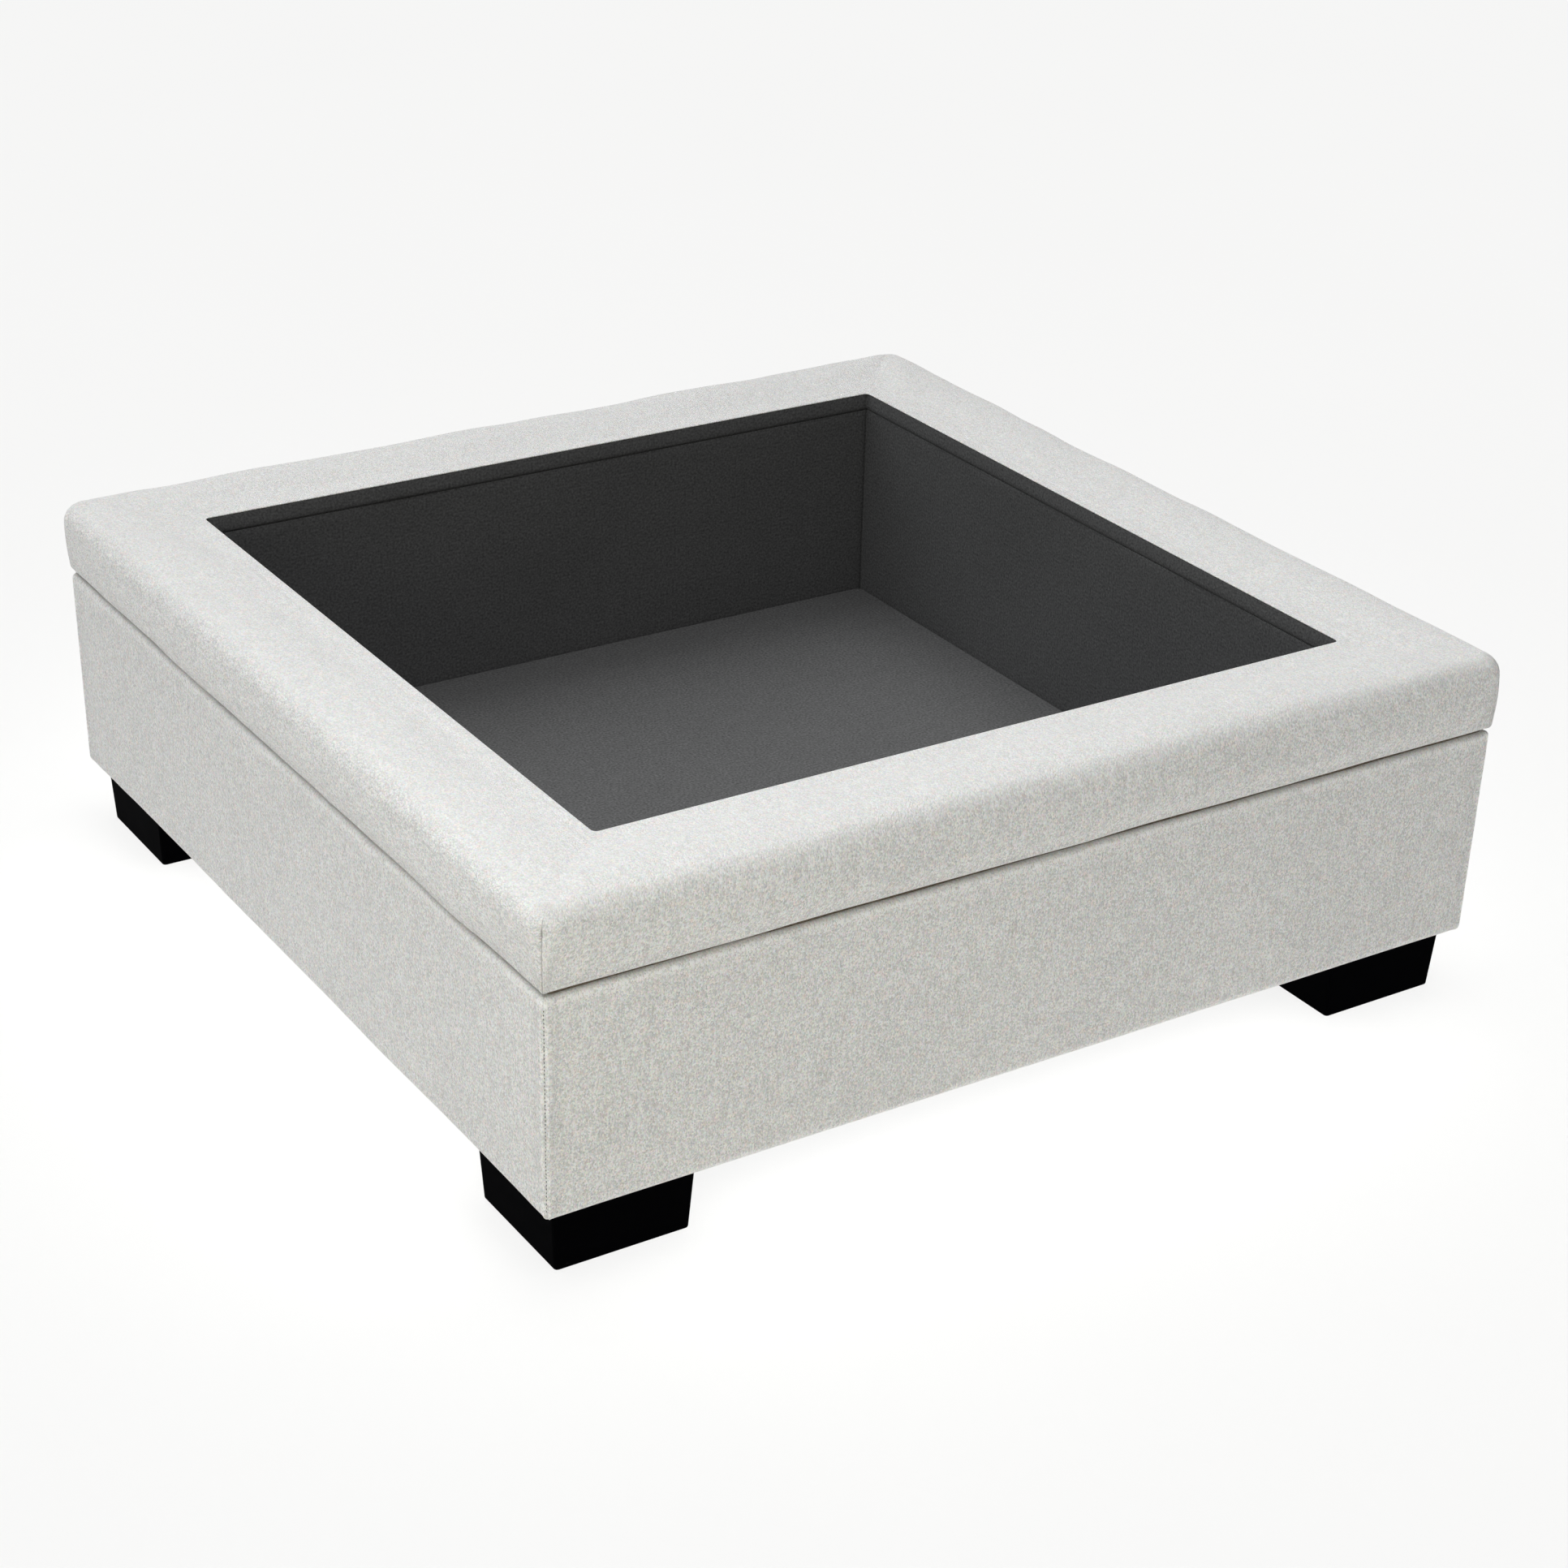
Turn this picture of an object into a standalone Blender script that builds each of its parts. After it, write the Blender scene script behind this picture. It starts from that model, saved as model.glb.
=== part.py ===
"""Square upholstered ottoman with an open storage well and a lift-out floor board.

Metres, +Z up. The origin is on the floor, under the middle of the ottoman, and the front is -Y.
Every side of the ottoman is alike, so a side's pieces are drawn for the front and turned about Z.
"""

import math

import bmesh
import bpy
from mathutils import Matrix, Vector

OBJECT_NAME = "storage_ottoman"

# Overall form
BASE_HALF = 0.550            # middle of the base to its outer fabric
RIM_HALF = 0.561             # the padded rim stands 11 mm proud of the base
WELL_HALF = 0.437            # middle of the well to its lining
FOOT_HEIGHT = 0.068
PARTING_Z = 0.304            # where the rim sits on the base
TOP_Z = 0.384
WELL_FLOOR_Z = 0.128

# Rounding of the upholstery
RIM_CORNER_R = 0.032
RIM_TOP_R = 0.026
RIM_BOTTOM_R = 0.012
BASE_CORNER_R = 0.0115
BASE_BOTTOM_R = 0.010
BASE_TOP_R = 0.010
ROUND_STEPS = 4
SOLE_STEPS = 2
FOOT_STEPS = 3

# Cloth, foam and boards
GAP = 0.0003                 # left between pieces that touch
CLOTH_T = 0.0015
LINING_T = 0.0025
DUST_CLOTH_T = 0.0010
OUTER_PLY_T = 0.015
WALL_PLY_T = 0.009
RAIL_T = 0.028
TOP_RAIL_T = 0.020
RIM_RAIL_T = 0.0235
RIM_RAIL_OUTER = 0.541
RAIL_INNER = 0.420
FACING_DROP = 0.021          # depth of the plain band sewn along the top of the lining
BASE_TURN_UNDER = 0.050      # width of the cover's turned-in edges
BASE_TURN_TOP = 0.030
RIM_TURN_UNDER = 0.046

# Lift-out floor board
BOARD_CLEARANCE = 0.0025     # all round, to the lining
BOARD_WRAP_TURN = 0.040
BOARD_THICKNESS = 0.016      # with its cloth
CENTRE_RAIL_HALF = 0.030

# Block feet
FOOT_SOLE = 0.142
FOOT_TOP = 0.150
FOOT_OUTER = 0.530           # middle of the ottoman to a sole's outer edge
FOOT_EDGE_R = 0.004
FOOT_SOLE_R = 0.0015

# Fasteners
BOLT_R = 0.004
BOLT_LOW_Z = 0.030           # how deep the hanger bolt reaches into the foot
BOLT_TOP_Z = 0.1060
BOLT_HOLE_R = BOLT_R + GAP
T_NUT_FLANGE_R = 0.011
T_NUT_FLANGE_T = 0.0015
T_NUT_BARREL_R = 0.0055
T_NUT_BARREL_L = 0.012
RIM_BOLT_R = 0.003
RIM_BOLT_HEAD_R = 0.0062
RIM_BOLT_HEAD_T = 0.004
RIM_BOLT_AT = 0.491          # middle of the ottoman to the row of rim bolts
RIM_BOLT_TOP_Z = 0.3235
ROUND_SIDES = 20
MERGE = 0.00001
HAIR = 0.000001                # slack when an edge is picked out by where it lies
UPRIGHT = 0.9                  # an edge's direction counts as along an axis above this share
SHARP_DEG = 35

# Levels and widths that follow
BASE_TOP_Z = PARTING_Z - GAP
FRAME_LOW_Z = FOOT_HEIGHT + CLOTH_T + GAP
FRAME_TOP_Z = BASE_TOP_Z - CLOTH_T - GAP
PLY_OUTER = BASE_HALF - CLOTH_T - GAP
PLY_INNER = PLY_OUTER - OUTER_PLY_T
PLY_CORNER_R = BASE_CORNER_R - CLOTH_T - GAP
PLY_BOTTOM_R = BASE_BOTTOM_R - CLOTH_T - GAP
PLY_TOP_R = BASE_TOP_R - CLOTH_T - GAP
WALL_FACE = WELL_HALF + LINING_T + GAP
WALL_BACK = WALL_FACE + WALL_PLY_T
RAIL_TOP_Z = FRAME_LOW_Z + RAIL_T
BOARD_LOW_Z = WELL_FLOOR_Z - BOARD_THICKNESS
REST_TOP_Z = BOARD_LOW_Z - GAP
BOARD_HALF = WELL_HALF - BOARD_CLEARANCE
FACING_LOW_Z = TOP_Z - FACING_DROP
RIM_RAIL_LOW_Z = PARTING_Z + CLOTH_T + GAP
RIM_RAIL_TOP_Z = RIM_RAIL_LOW_Z + RIM_RAIL_T
FOOT_CENTRE = FOOT_OUTER - FOOT_SOLE / 2
SLACK = 0.010                # how far a cutter runs past what it cuts

SIDES = {"front": 0.0, "right": 90.0, "back": 180.0, "left": 270.0}
LONG_SIDES = ("front", "back")
CORNERS = {
    "front_left": (-1, -1),
    "front_right": (1, -1),
    "back_left": (-1, 1),
    "back_right": (1, 1),
}


def clear_scene():
    for obj in list(bpy.data.objects):
        bpy.data.objects.remove(obj, do_unlink=True)


def new_collection(name):
    collection = bpy.data.collections.new(name)
    bpy.context.scene.collection.children.link(collection)
    return collection


def new_material(name, color, roughness, metallic=0.0):
    material = bpy.data.materials.new(name)
    material.use_nodes = True
    shader = material.node_tree.nodes["Principled BSDF"]
    shader.inputs["Base Color"].default_value = (*color, 1.0)
    shader.inputs["Roughness"].default_value = roughness
    shader.inputs["Metallic"].default_value = metallic
    return material


def own_material(obj, look):
    """Gives the object a material of its own, made from a (name, colour, roughness, metallic) look."""
    kind, color, roughness, metallic = look
    obj.data.materials.append(new_material(f"{obj.name}.{kind}", color, roughness, metallic))


def object_from(bm, name, collection, look=None):
    mesh = bpy.data.meshes.new(name)
    bm.normal_update()
    bm.to_mesh(mesh)
    bm.free()
    obj = bpy.data.objects.new(name, mesh)
    collection.objects.link(obj)
    if look:
        own_material(obj, look)
        mesh.shade_smooth()
        mesh.set_sharp_from_angle(angle=math.radians(SHARP_DEG))
    return obj


def cube_between(low, high):
    """A bmesh box from its lowest to its highest corner."""
    bm = bmesh.new()
    size = Vector(high) - Vector(low)
    middle = (Vector(high) + Vector(low)) / 2
    bmesh.ops.create_cube(bm, size=1.0, matrix=Matrix.Translation(middle) @ Matrix.Diagonal((*size, 1.0)))
    return bm


def round_edges(bm, chosen, radius, steps=ROUND_STEPS):
    """Bevels the edges for which chosen(edge's middle, edge's direction) is true."""
    edges = []
    for edge in bm.edges:
        start, end = (vertex.co for vertex in edge.verts)
        if chosen((start + end) / 2, (end - start).normalized()):
            edges.append(edge)
    bmesh.ops.bevel(bm, geom=edges, offset=radius, segments=steps, profile=0.5, affect="EDGES")


def rounded_slab(half, low_z, high_z, corner_r, top_r, bottom_r):
    """A square slab with rounded corners in plan, and rounded top and bottom edges."""
    bm = cube_between((-half, -half, low_z), (half, half, high_z))
    round_edges(bm, lambda at, way: abs(way.z) > UPRIGHT, corner_r)
    round_edges(bm, lambda at, way: at.z > high_z - HAIR, top_r)
    round_edges(bm, lambda at, way: at.z < low_z + HAIR, bottom_r)
    return bm


def square_cutter(name, half, low_z, high_z):
    return as_cutter(object_from(cube_between((-half, -half, low_z), (half, half, high_z)), name, cutters))


def cylinder(name, collection, radius, low_z, high_z, at=(0.0, 0.0), look=None):
    bm = bmesh.new()
    bmesh.ops.create_cone(
        bm, cap_ends=True, segments=ROUND_SIDES, radius1=radius, radius2=radius, depth=high_z - low_z
    )
    obj = object_from(bm, name, collection, look)
    obj.location = (*at, (low_z + high_z) / 2)
    return obj


def as_cutter(obj):
    obj.hide_render = True
    obj.display_type = "WIRE"
    return obj


def use_boolean(obj, other, operation="DIFFERENCE"):
    modifier = obj.modifiers.new(f"{operation.lower()}_{other.name}", "BOOLEAN")
    modifier.operation = operation
    modifier.object = other
    modifier.solver = "EXACT"


def side_box(name, side, half_length, inner, outer, low_z, high_z, look):
    """A straight piece along one side of the ottoman, between two distances from its middle."""
    bm = cube_between((-half_length, -outer, low_z), (half_length, -inner, high_z))
    obj = object_from(bm, name, parts, look)
    obj.rotation_euler.z = math.radians(SIDES[side])
    return obj


def side_frame(prefix, long_half, short_half, inner, outer, low_z, high_z, look):
    """Four straight pieces, butted at the corners: the front and back ones run past the other two."""
    made = {}
    for side in SIDES:
        half_length = long_half if side in LONG_SIDES else short_half
        made[side] = side_box(f"{prefix}_{side}", side, half_length, inner, outer, low_z, high_z, look)
    return made


def turned(name, collection, profile, look):
    """A solid turned about Z from (radius, height) points, listed down its outer side and up any bore."""
    mesh = bpy.data.meshes.new(name)
    obj = bpy.data.objects.new(name, mesh)
    edges = [(i, i + 1) for i in range(len(profile) - 1)]
    if profile[-1][0] > 0.0:
        edges.append((len(profile) - 1, 0))
    mesh.from_pydata([(radius, 0.0, z) for radius, z in profile], edges, [])
    collection.objects.link(obj)
    own_material(obj, look)
    screw = obj.modifiers.new("turn", "SCREW")
    screw.steps = ROUND_SIDES
    screw.render_steps = ROUND_SIDES
    screw.use_merge_vertices = True
    screw.merge_threshold = MERGE
    return obj


def build_feet():
    foot_top_z = FOOT_HEIGHT - GAP
    hole_low_z = BOLT_LOW_Z - GAP
    for corner, (sx, sy) in CORNERS.items():
        at = (sx * FOOT_CENTRE, sy * FOOT_CENTRE)
        half = FOOT_SOLE / 2
        bm = cube_between((-half, -half, 0.0), (half, half, foot_top_z))
        for vertex in bm.verts:
            if vertex.co.z > foot_top_z / 2:
                vertex.co.x *= FOOT_TOP / FOOT_SOLE
                vertex.co.y *= FOOT_TOP / FOOT_SOLE
        round_edges(bm, lambda at, way: abs(way.z) > UPRIGHT, FOOT_EDGE_R, FOOT_STEPS)
        round_edges(bm, lambda at, way: at.z < HAIR, FOOT_SOLE_R, SOLE_STEPS)
        foot = object_from(bm, f"foot_{corner}", parts, BLACK_WOOD)
        foot.location = (*at, 0.0)
        hole = cylinder(f"hole_foot_{corner}", cutters, BOLT_HOLE_R, hole_low_z, foot_top_z + SLACK, at)
        use_boolean(foot, as_cutter(hole))
        cylinder(f"foot_bolt_{corner}", parts, BOLT_R, BOLT_LOW_Z, BOLT_TOP_Z, at, STEEL)

        flange_low = RAIL_TOP_Z + GAP
        flange_top = flange_low + T_NUT_FLANGE_T
        barrel_low = flange_low - T_NUT_BARREL_L
        profile = [
            (T_NUT_FLANGE_R, flange_top),
            (T_NUT_FLANGE_R, flange_low),
            (T_NUT_BARREL_R, flange_low),
            (T_NUT_BARREL_R, barrel_low),
            (BOLT_HOLE_R, barrel_low),
            (BOLT_HOLE_R, flange_top),
        ]
        turned(f"t_nut_{corner}", parts, profile, STEEL).location = (*at, 0.0)


def build_base_frame():
    panels = side_frame(
        "frame_panel", PLY_OUTER, PLY_INNER - GAP, PLY_INNER, PLY_OUTER, FRAME_LOW_Z, FRAME_TOP_Z, PLYWOOD
    )
    for side, panel in panels.items():
        round_panel_edges(panel, side in LONG_SIDES)

    rails = side_frame(
        "bottom_rail", PLY_INNER - GAP, RAIL_INNER - GAP, RAIL_INNER, PLY_INNER - GAP,
        FRAME_LOW_Z, RAIL_TOP_Z, TIMBER,
    )
    for corner, (sx, sy) in CORNERS.items():
        hole = cylinder(
            f"hole_rail_{corner}", cutters, T_NUT_BARREL_R + GAP, FRAME_LOW_Z - SLACK, RAIL_TOP_Z + SLACK,
            (sx * FOOT_CENTRE, sy * FOOT_CENTRE),
        )
        use_boolean(rails["front" if sy < 0 else "back"], as_cutter(hole))

    middle_beam = cube_between(
        (-CENTRE_RAIL_HALF, -RAIL_INNER + GAP, FRAME_LOW_Z), (CENTRE_RAIL_HALF, RAIL_INNER - GAP, REST_TOP_Z)
    )
    object_from(middle_beam, "centre_rail", parts, TIMBER)

    side_frame(
        "board_rest", WALL_FACE - GAP, RAIL_INNER, RAIL_INNER + GAP, WALL_FACE - GAP,
        RAIL_TOP_Z + GAP, REST_TOP_Z, TIMBER,
    )
    side_frame(
        "well_wall", WALL_BACK, WALL_FACE - GAP, WALL_FACE, WALL_BACK, RAIL_TOP_Z + GAP, FRAME_TOP_Z, PLYWOOD
    )
    return side_frame(
        "top_rail", PLY_INNER - GAP, WALL_BACK, WALL_BACK + GAP, PLY_INNER - GAP,
        FRAME_TOP_Z - TOP_RAIL_T, FRAME_TOP_Z, TIMBER,
    )


def round_panel_edges(panel, has_corners):
    """Eases an outer board where the cover bends round it: its outer edges and, if it has them, corners."""
    bm = bmesh.new()
    bm.from_mesh(panel.data)
    if has_corners:
        round_edges(bm, lambda at, way: abs(way.z) > UPRIGHT and at.y < -PLY_OUTER + HAIR, PLY_CORNER_R)

    def under_cover(at, way):
        return at.y < -PLY_INNER - HAIR and (has_corners or abs(way.x) > UPRIGHT)

    round_edges(bm, lambda at, way: at.z < FRAME_LOW_Z + HAIR and under_cover(at, way), PLY_BOTTOM_R)
    round_edges(bm, lambda at, way: at.z > FRAME_TOP_Z - HAIR and under_cover(at, way), PLY_TOP_R)
    bm.to_mesh(panel.data)
    bm.free()


def build_base_cover():
    """One sewn sleeve, turned in over the top of the frame and under its bottom."""
    cover = object_from(
        rounded_slab(BASE_HALF, FOOT_HEIGHT, BASE_TOP_Z, BASE_CORNER_R, BASE_TOP_R, BASE_BOTTOM_R),
        "base_cover", parts, OUTER_CLOTH,
    )
    inside = object_from(
        rounded_slab(
            BASE_HALF - CLOTH_T, FOOT_HEIGHT + CLOTH_T, BASE_TOP_Z - CLOTH_T,
            BASE_CORNER_R - CLOTH_T, BASE_TOP_R - CLOTH_T, BASE_BOTTOM_R - CLOTH_T,
        ),
        "base_cover_inside", cutters,
    )
    use_boolean(cover, as_cutter(inside))
    low_hole_half = BASE_HALF - BASE_TURN_UNDER
    top_hole_half = BASE_HALF - BASE_TURN_TOP
    middle_z = (FOOT_HEIGHT + BASE_TOP_Z) / 2
    use_boolean(cover, square_cutter("base_cover_mouth_low", low_hole_half, FOOT_HEIGHT - SLACK, middle_z))
    use_boolean(
        cover, square_cutter("base_cover_mouth_top", top_hole_half, middle_z - SLACK, BASE_TOP_Z + SLACK)
    )


def build_dust_cover():
    half = BASE_HALF - BASE_TURN_UNDER - GAP
    bm = cube_between((-half, -half, FOOT_HEIGHT), (half, half, FOOT_HEIGHT + DUST_CLOTH_T))
    cover = object_from(bm, "dust_cover", parts, BLACK_CLOTH)
    for corner, (sx, sy) in CORNERS.items():
        hole = cylinder(
            f"hole_dust_{corner}", cutters, BOLT_HOLE_R, FOOT_HEIGHT - SLACK, FOOT_HEIGHT + SLACK,
            (sx * FOOT_CENTRE, sy * FOOT_CENTRE),
        )
        use_boolean(cover, as_cutter(hole))


def build_rim(top_rails):
    rails = side_frame(
        "rim_rail", RIM_RAIL_OUTER, WALL_FACE - GAP, WALL_FACE, RIM_RAIL_OUTER,
        RIM_RAIL_LOW_Z, RIM_RAIL_TOP_Z, TIMBER,
    )
    for side, angle in SIDES.items():
        turn = Matrix.Rotation(math.radians(angle), 4, "Z")
        at = (turn @ Vector((0.0, -RIM_BOLT_AT, 0.0))).xy
        head_top_z = FRAME_TOP_Z - TOP_RAIL_T - GAP
        hole = cylinder(
            f"hole_rim_{side}", cutters, RIM_BOLT_R + GAP, head_top_z, RIM_BOLT_TOP_Z + GAP, at
        )
        as_cutter(hole)
        use_boolean(rails[side], hole)
        use_boolean(top_rails[side], hole)
        build_rim_bolt(f"rim_bolt_{side}", head_top_z).location = (*at, 0.0)

    foam_inset = CLOTH_T + GAP
    foam_low_z = PARTING_Z + foam_inset
    foam_top_z = TOP_Z - foam_inset
    ring = as_cutter(object_from(
        rounded_slab(
            RIM_HALF - foam_inset, foam_low_z, foam_top_z,
            RIM_CORNER_R - foam_inset, RIM_TOP_R - foam_inset, RIM_BOTTOM_R - foam_inset,
        ),
        "foam_block", cutters,
    ))
    rail_space = square_cutter(
        "foam_over_rails", RIM_RAIL_OUTER + GAP, foam_low_z - SLACK, RIM_RAIL_TOP_Z + GAP
    )
    well_space = square_cutter("foam_round_well", WALL_FACE, foam_low_z - SLACK, foam_top_z + SLACK)
    for side in SIDES:
        foam = mitred_prism(f"rim_foam_{side}", side, foam_low_z - SLACK, foam_top_z + SLACK)
        use_boolean(foam, ring, "INTERSECT")
        use_boolean(foam, rail_space)
        use_boolean(foam, well_space)


def build_rim_bolt(name, head_top_z):
    """A pan-headed bolt that pulls the rim down onto the base from below."""
    profile = [
        (0.0, RIM_BOLT_TOP_Z),
        (RIM_BOLT_R, RIM_BOLT_TOP_Z),
        (RIM_BOLT_R, head_top_z),
        (RIM_BOLT_HEAD_R, head_top_z),
        (RIM_BOLT_HEAD_R, head_top_z - RIM_BOLT_HEAD_T),
        (0.0, head_top_z - RIM_BOLT_HEAD_T),
    ]
    return turned(name, parts, profile, STEEL)


def mitred_prism(name, side, low_z, high_z):
    """A prism over one side of the rim, cut at 45 degrees at both ends."""
    inner = WALL_FACE - SLACK
    outer = RIM_HALF + SLACK
    mitre_gap = GAP / 2 * math.sqrt(2)
    outline = [
        (-outer + mitre_gap, -outer),
        (outer - mitre_gap, -outer),
        (inner - mitre_gap, -inner),
        (-inner + mitre_gap, -inner),
    ]
    curve = bpy.data.curves.new(name, "CURVE")
    curve.dimensions = "2D"
    curve.fill_mode = "BOTH"
    curve.extrude = (high_z - low_z) / 2
    spline = curve.splines.new("POLY")
    spline.points.add(len(outline) - 1)
    spline.use_cyclic_u = True
    for point, (x, y) in zip(spline.points, outline):
        point.co = (x, y, 0.0, 1.0)
    guide = bpy.data.objects.new(name + "_outline", curve)
    cutters.objects.link(guide)
    guide.location.z = (low_z + high_z) / 2
    guide.rotation_euler.z = math.radians(SIDES[side])
    bpy.context.view_layer.update()

    graph = bpy.context.evaluated_depsgraph_get()
    mesh = bpy.data.meshes.new_from_object(guide.evaluated_get(graph))
    mesh.name = name
    bm = bmesh.new()
    bm.from_mesh(mesh)
    bmesh.ops.remove_doubles(bm, verts=bm.verts, dist=MERGE)
    bmesh.ops.recalc_face_normals(bm, faces=bm.faces)
    bm.to_mesh(mesh)
    bm.free()
    obj = bpy.data.objects.new(name, mesh)
    obj.matrix_world = guide.matrix_world
    parts.objects.link(obj)
    own_material(obj, FOAM)
    bpy.data.objects.remove(guide, do_unlink=True)
    return obj


def build_rim_cover():
    """One cover over the foam, darted at its corners and turned under the rim."""
    cover = object_from(
        rounded_slab(RIM_HALF, PARTING_Z, TOP_Z, RIM_CORNER_R, RIM_TOP_R, RIM_BOTTOM_R),
        "rim_cover", parts, OUTER_CLOTH,
    )
    inside = object_from(
        rounded_slab(
            RIM_HALF - CLOTH_T, PARTING_Z + CLOTH_T, TOP_Z - CLOTH_T,
            RIM_CORNER_R - CLOTH_T, RIM_TOP_R - CLOTH_T, RIM_BOTTOM_R - CLOTH_T,
        ),
        "rim_cover_inside", cutters,
    )
    use_boolean(cover, as_cutter(inside))
    middle_z = (PARTING_Z + TOP_Z) / 2
    mouth_half = RIM_HALF - RIM_TURN_UNDER
    use_boolean(cover, square_cutter("rim_cover_mouth_low", mouth_half, PARTING_Z - SLACK, middle_z))
    use_boolean(cover, square_cutter("rim_cover_mouth_top", WELL_HALF, middle_z - SLACK, TOP_Z + SLACK))


def build_lining():
    back = WELL_HALF + LINING_T
    side_frame(
        "lining", back, WELL_HALF - GAP, WELL_HALF, back, BOARD_LOW_Z, FACING_LOW_Z - GAP, LINING_CLOTH
    )
    top_z = TOP_Z - CLOTH_T - GAP
    facing = object_from(
        cube_between((-back, -back, FACING_LOW_Z), (back, back, top_z)), "lining_facing", parts, LINING_CLOTH
    )
    use_boolean(facing, square_cutter("facing_mouth", WELL_HALF, FACING_LOW_Z - SLACK, top_z + SLACK))


def build_floor_board():
    """The loose board of the well: plywood in a cloth wrap that is turned under its edges."""
    lift = bpy.data.objects.new("floor_board_lift", None)
    parts.objects.link(lift)
    lift.location.z = BOARD_LOW_Z
    core_half = BOARD_HALF - CLOTH_T - GAP
    core = object_from(
        cube_between(
            (-core_half, -core_half, CLOTH_T + GAP),
            (core_half, core_half, BOARD_THICKNESS - CLOTH_T - GAP),
        ),
        "floor_board", parts, PLYWOOD,
    )
    wrap = object_from(
        cube_between((-BOARD_HALF, -BOARD_HALF, 0.0), (BOARD_HALF, BOARD_HALF, BOARD_THICKNESS)),
        "floor_board_wrap", parts, LINING_CLOTH,
    )
    inner = BOARD_HALF - CLOTH_T
    inside = object_from(
        cube_between((-inner, -inner, CLOTH_T), (inner, inner, BOARD_THICKNESS - CLOTH_T)),
        "board_wrap_inside", cutters,
    )
    mouth_half = BOARD_HALF - BOARD_WRAP_TURN
    mouth = object_from(
        cube_between((-mouth_half, -mouth_half, -SLACK), (mouth_half, mouth_half, BOARD_THICKNESS / 2)),
        "board_wrap_mouth", cutters,
    )
    for cutter in (inside, mouth):
        use_boolean(wrap, as_cutter(cutter))
    for obj in (core, wrap, inside, mouth):
        obj.parent = lift


# Looks: a name, a linear colour, roughness and metallic
OUTER_CLOTH = ("outer_cloth", (0.61, 0.59, 0.55), 0.95, 0.0)
LINING_CLOTH = ("lining_cloth", (0.035, 0.035, 0.037), 0.90, 0.0)
BLACK_CLOTH = ("dust_cloth", (0.012, 0.012, 0.012), 0.95, 0.0)
FOAM = ("foam", (0.80, 0.74, 0.52), 0.95, 0.0)
PLYWOOD = ("plywood", (0.52, 0.37, 0.21), 0.70, 0.0)
TIMBER = ("timber", (0.60, 0.45, 0.27), 0.75, 0.0)
BLACK_WOOD = ("black_wood", (0.004, 0.004, 0.005), 0.35, 0.0)
STEEL = ("zinc_steel", (0.62, 0.62, 0.60), 0.35, 1.0)

clear_scene()
parts = new_collection(OBJECT_NAME)
cutters = new_collection("cutters")

build_feet()
build_rim(build_base_frame())
build_base_cover()
build_dust_cover()
build_rim_cover()
build_lining()
build_floor_board()
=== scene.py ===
import math

import bpy
import numpy as np
from mathutils import Matrix, Vector


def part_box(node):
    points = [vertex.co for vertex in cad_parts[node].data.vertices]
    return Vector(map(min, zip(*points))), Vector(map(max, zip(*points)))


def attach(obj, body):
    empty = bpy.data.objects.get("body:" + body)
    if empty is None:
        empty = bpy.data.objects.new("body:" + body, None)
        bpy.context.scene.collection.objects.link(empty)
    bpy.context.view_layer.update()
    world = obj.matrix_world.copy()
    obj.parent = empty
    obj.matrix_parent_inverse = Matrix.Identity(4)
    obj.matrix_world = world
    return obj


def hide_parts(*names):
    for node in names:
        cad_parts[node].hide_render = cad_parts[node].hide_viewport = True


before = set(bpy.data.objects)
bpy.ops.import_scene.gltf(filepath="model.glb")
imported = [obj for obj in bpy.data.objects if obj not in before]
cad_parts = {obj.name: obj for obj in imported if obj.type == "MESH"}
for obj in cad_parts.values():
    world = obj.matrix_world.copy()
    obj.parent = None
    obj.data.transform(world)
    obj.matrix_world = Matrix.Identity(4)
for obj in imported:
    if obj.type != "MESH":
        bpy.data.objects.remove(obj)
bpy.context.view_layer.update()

# Sizes read from the frame, in metres. All four sides of the ottoman are alike.
RIM_LOW, RIM_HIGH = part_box("rim_cover")
BASE_LOW, BASE_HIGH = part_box("base_cover")
BOARD_LOW, BOARD_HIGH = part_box("floor_board_wrap")
DUST_LOW, DUST_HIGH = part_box("dust_cover")
FACING_LOW, FACING_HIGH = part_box("lining_facing")
LINING_LOW, LINING_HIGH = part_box("lining_front")
RIM_HALF = RIM_HIGH[0]
TOP_Z = RIM_HIGH[2]
PARTING_Z = RIM_LOW[2]
BASE_HALF = BASE_HIGH[0]
WELL_HALF = -LINING_HIGH[1]
LINING_BACK = FACING_HIGH[0]

MAIN_BODY = "ottoman"
BOARD_BODY = "lift_out_board"
SIDES = ("front", "right", "back", "left")
ALONG = np.array([(1.0, 0.0), (0.0, 1.0), (-1.0, 0.0), (0.0, -1.0)])
OUTWARD = np.array([(0.0, -1.0), (1.0, 0.0), (0.0, 1.0), (-1.0, 0.0)])
QUARTER = math.pi / 2

CLOTH_T = 0.0015               # of the outer cloth

# ---- camera and light

CAMERA_PLACE = (-1.6862, -2.6780, 1.6882)
CAMERA_TURN, CAMERA_RISE, CAMERA_ROLL = -32.908, 26.052, 1.491     # degrees
SENSOR_WIDTH, LENS = 36.0, 73.85                                   # millimetres
WORLD_STRENGTH = 0.10
FLOOR_REACH = 30.0


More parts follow.
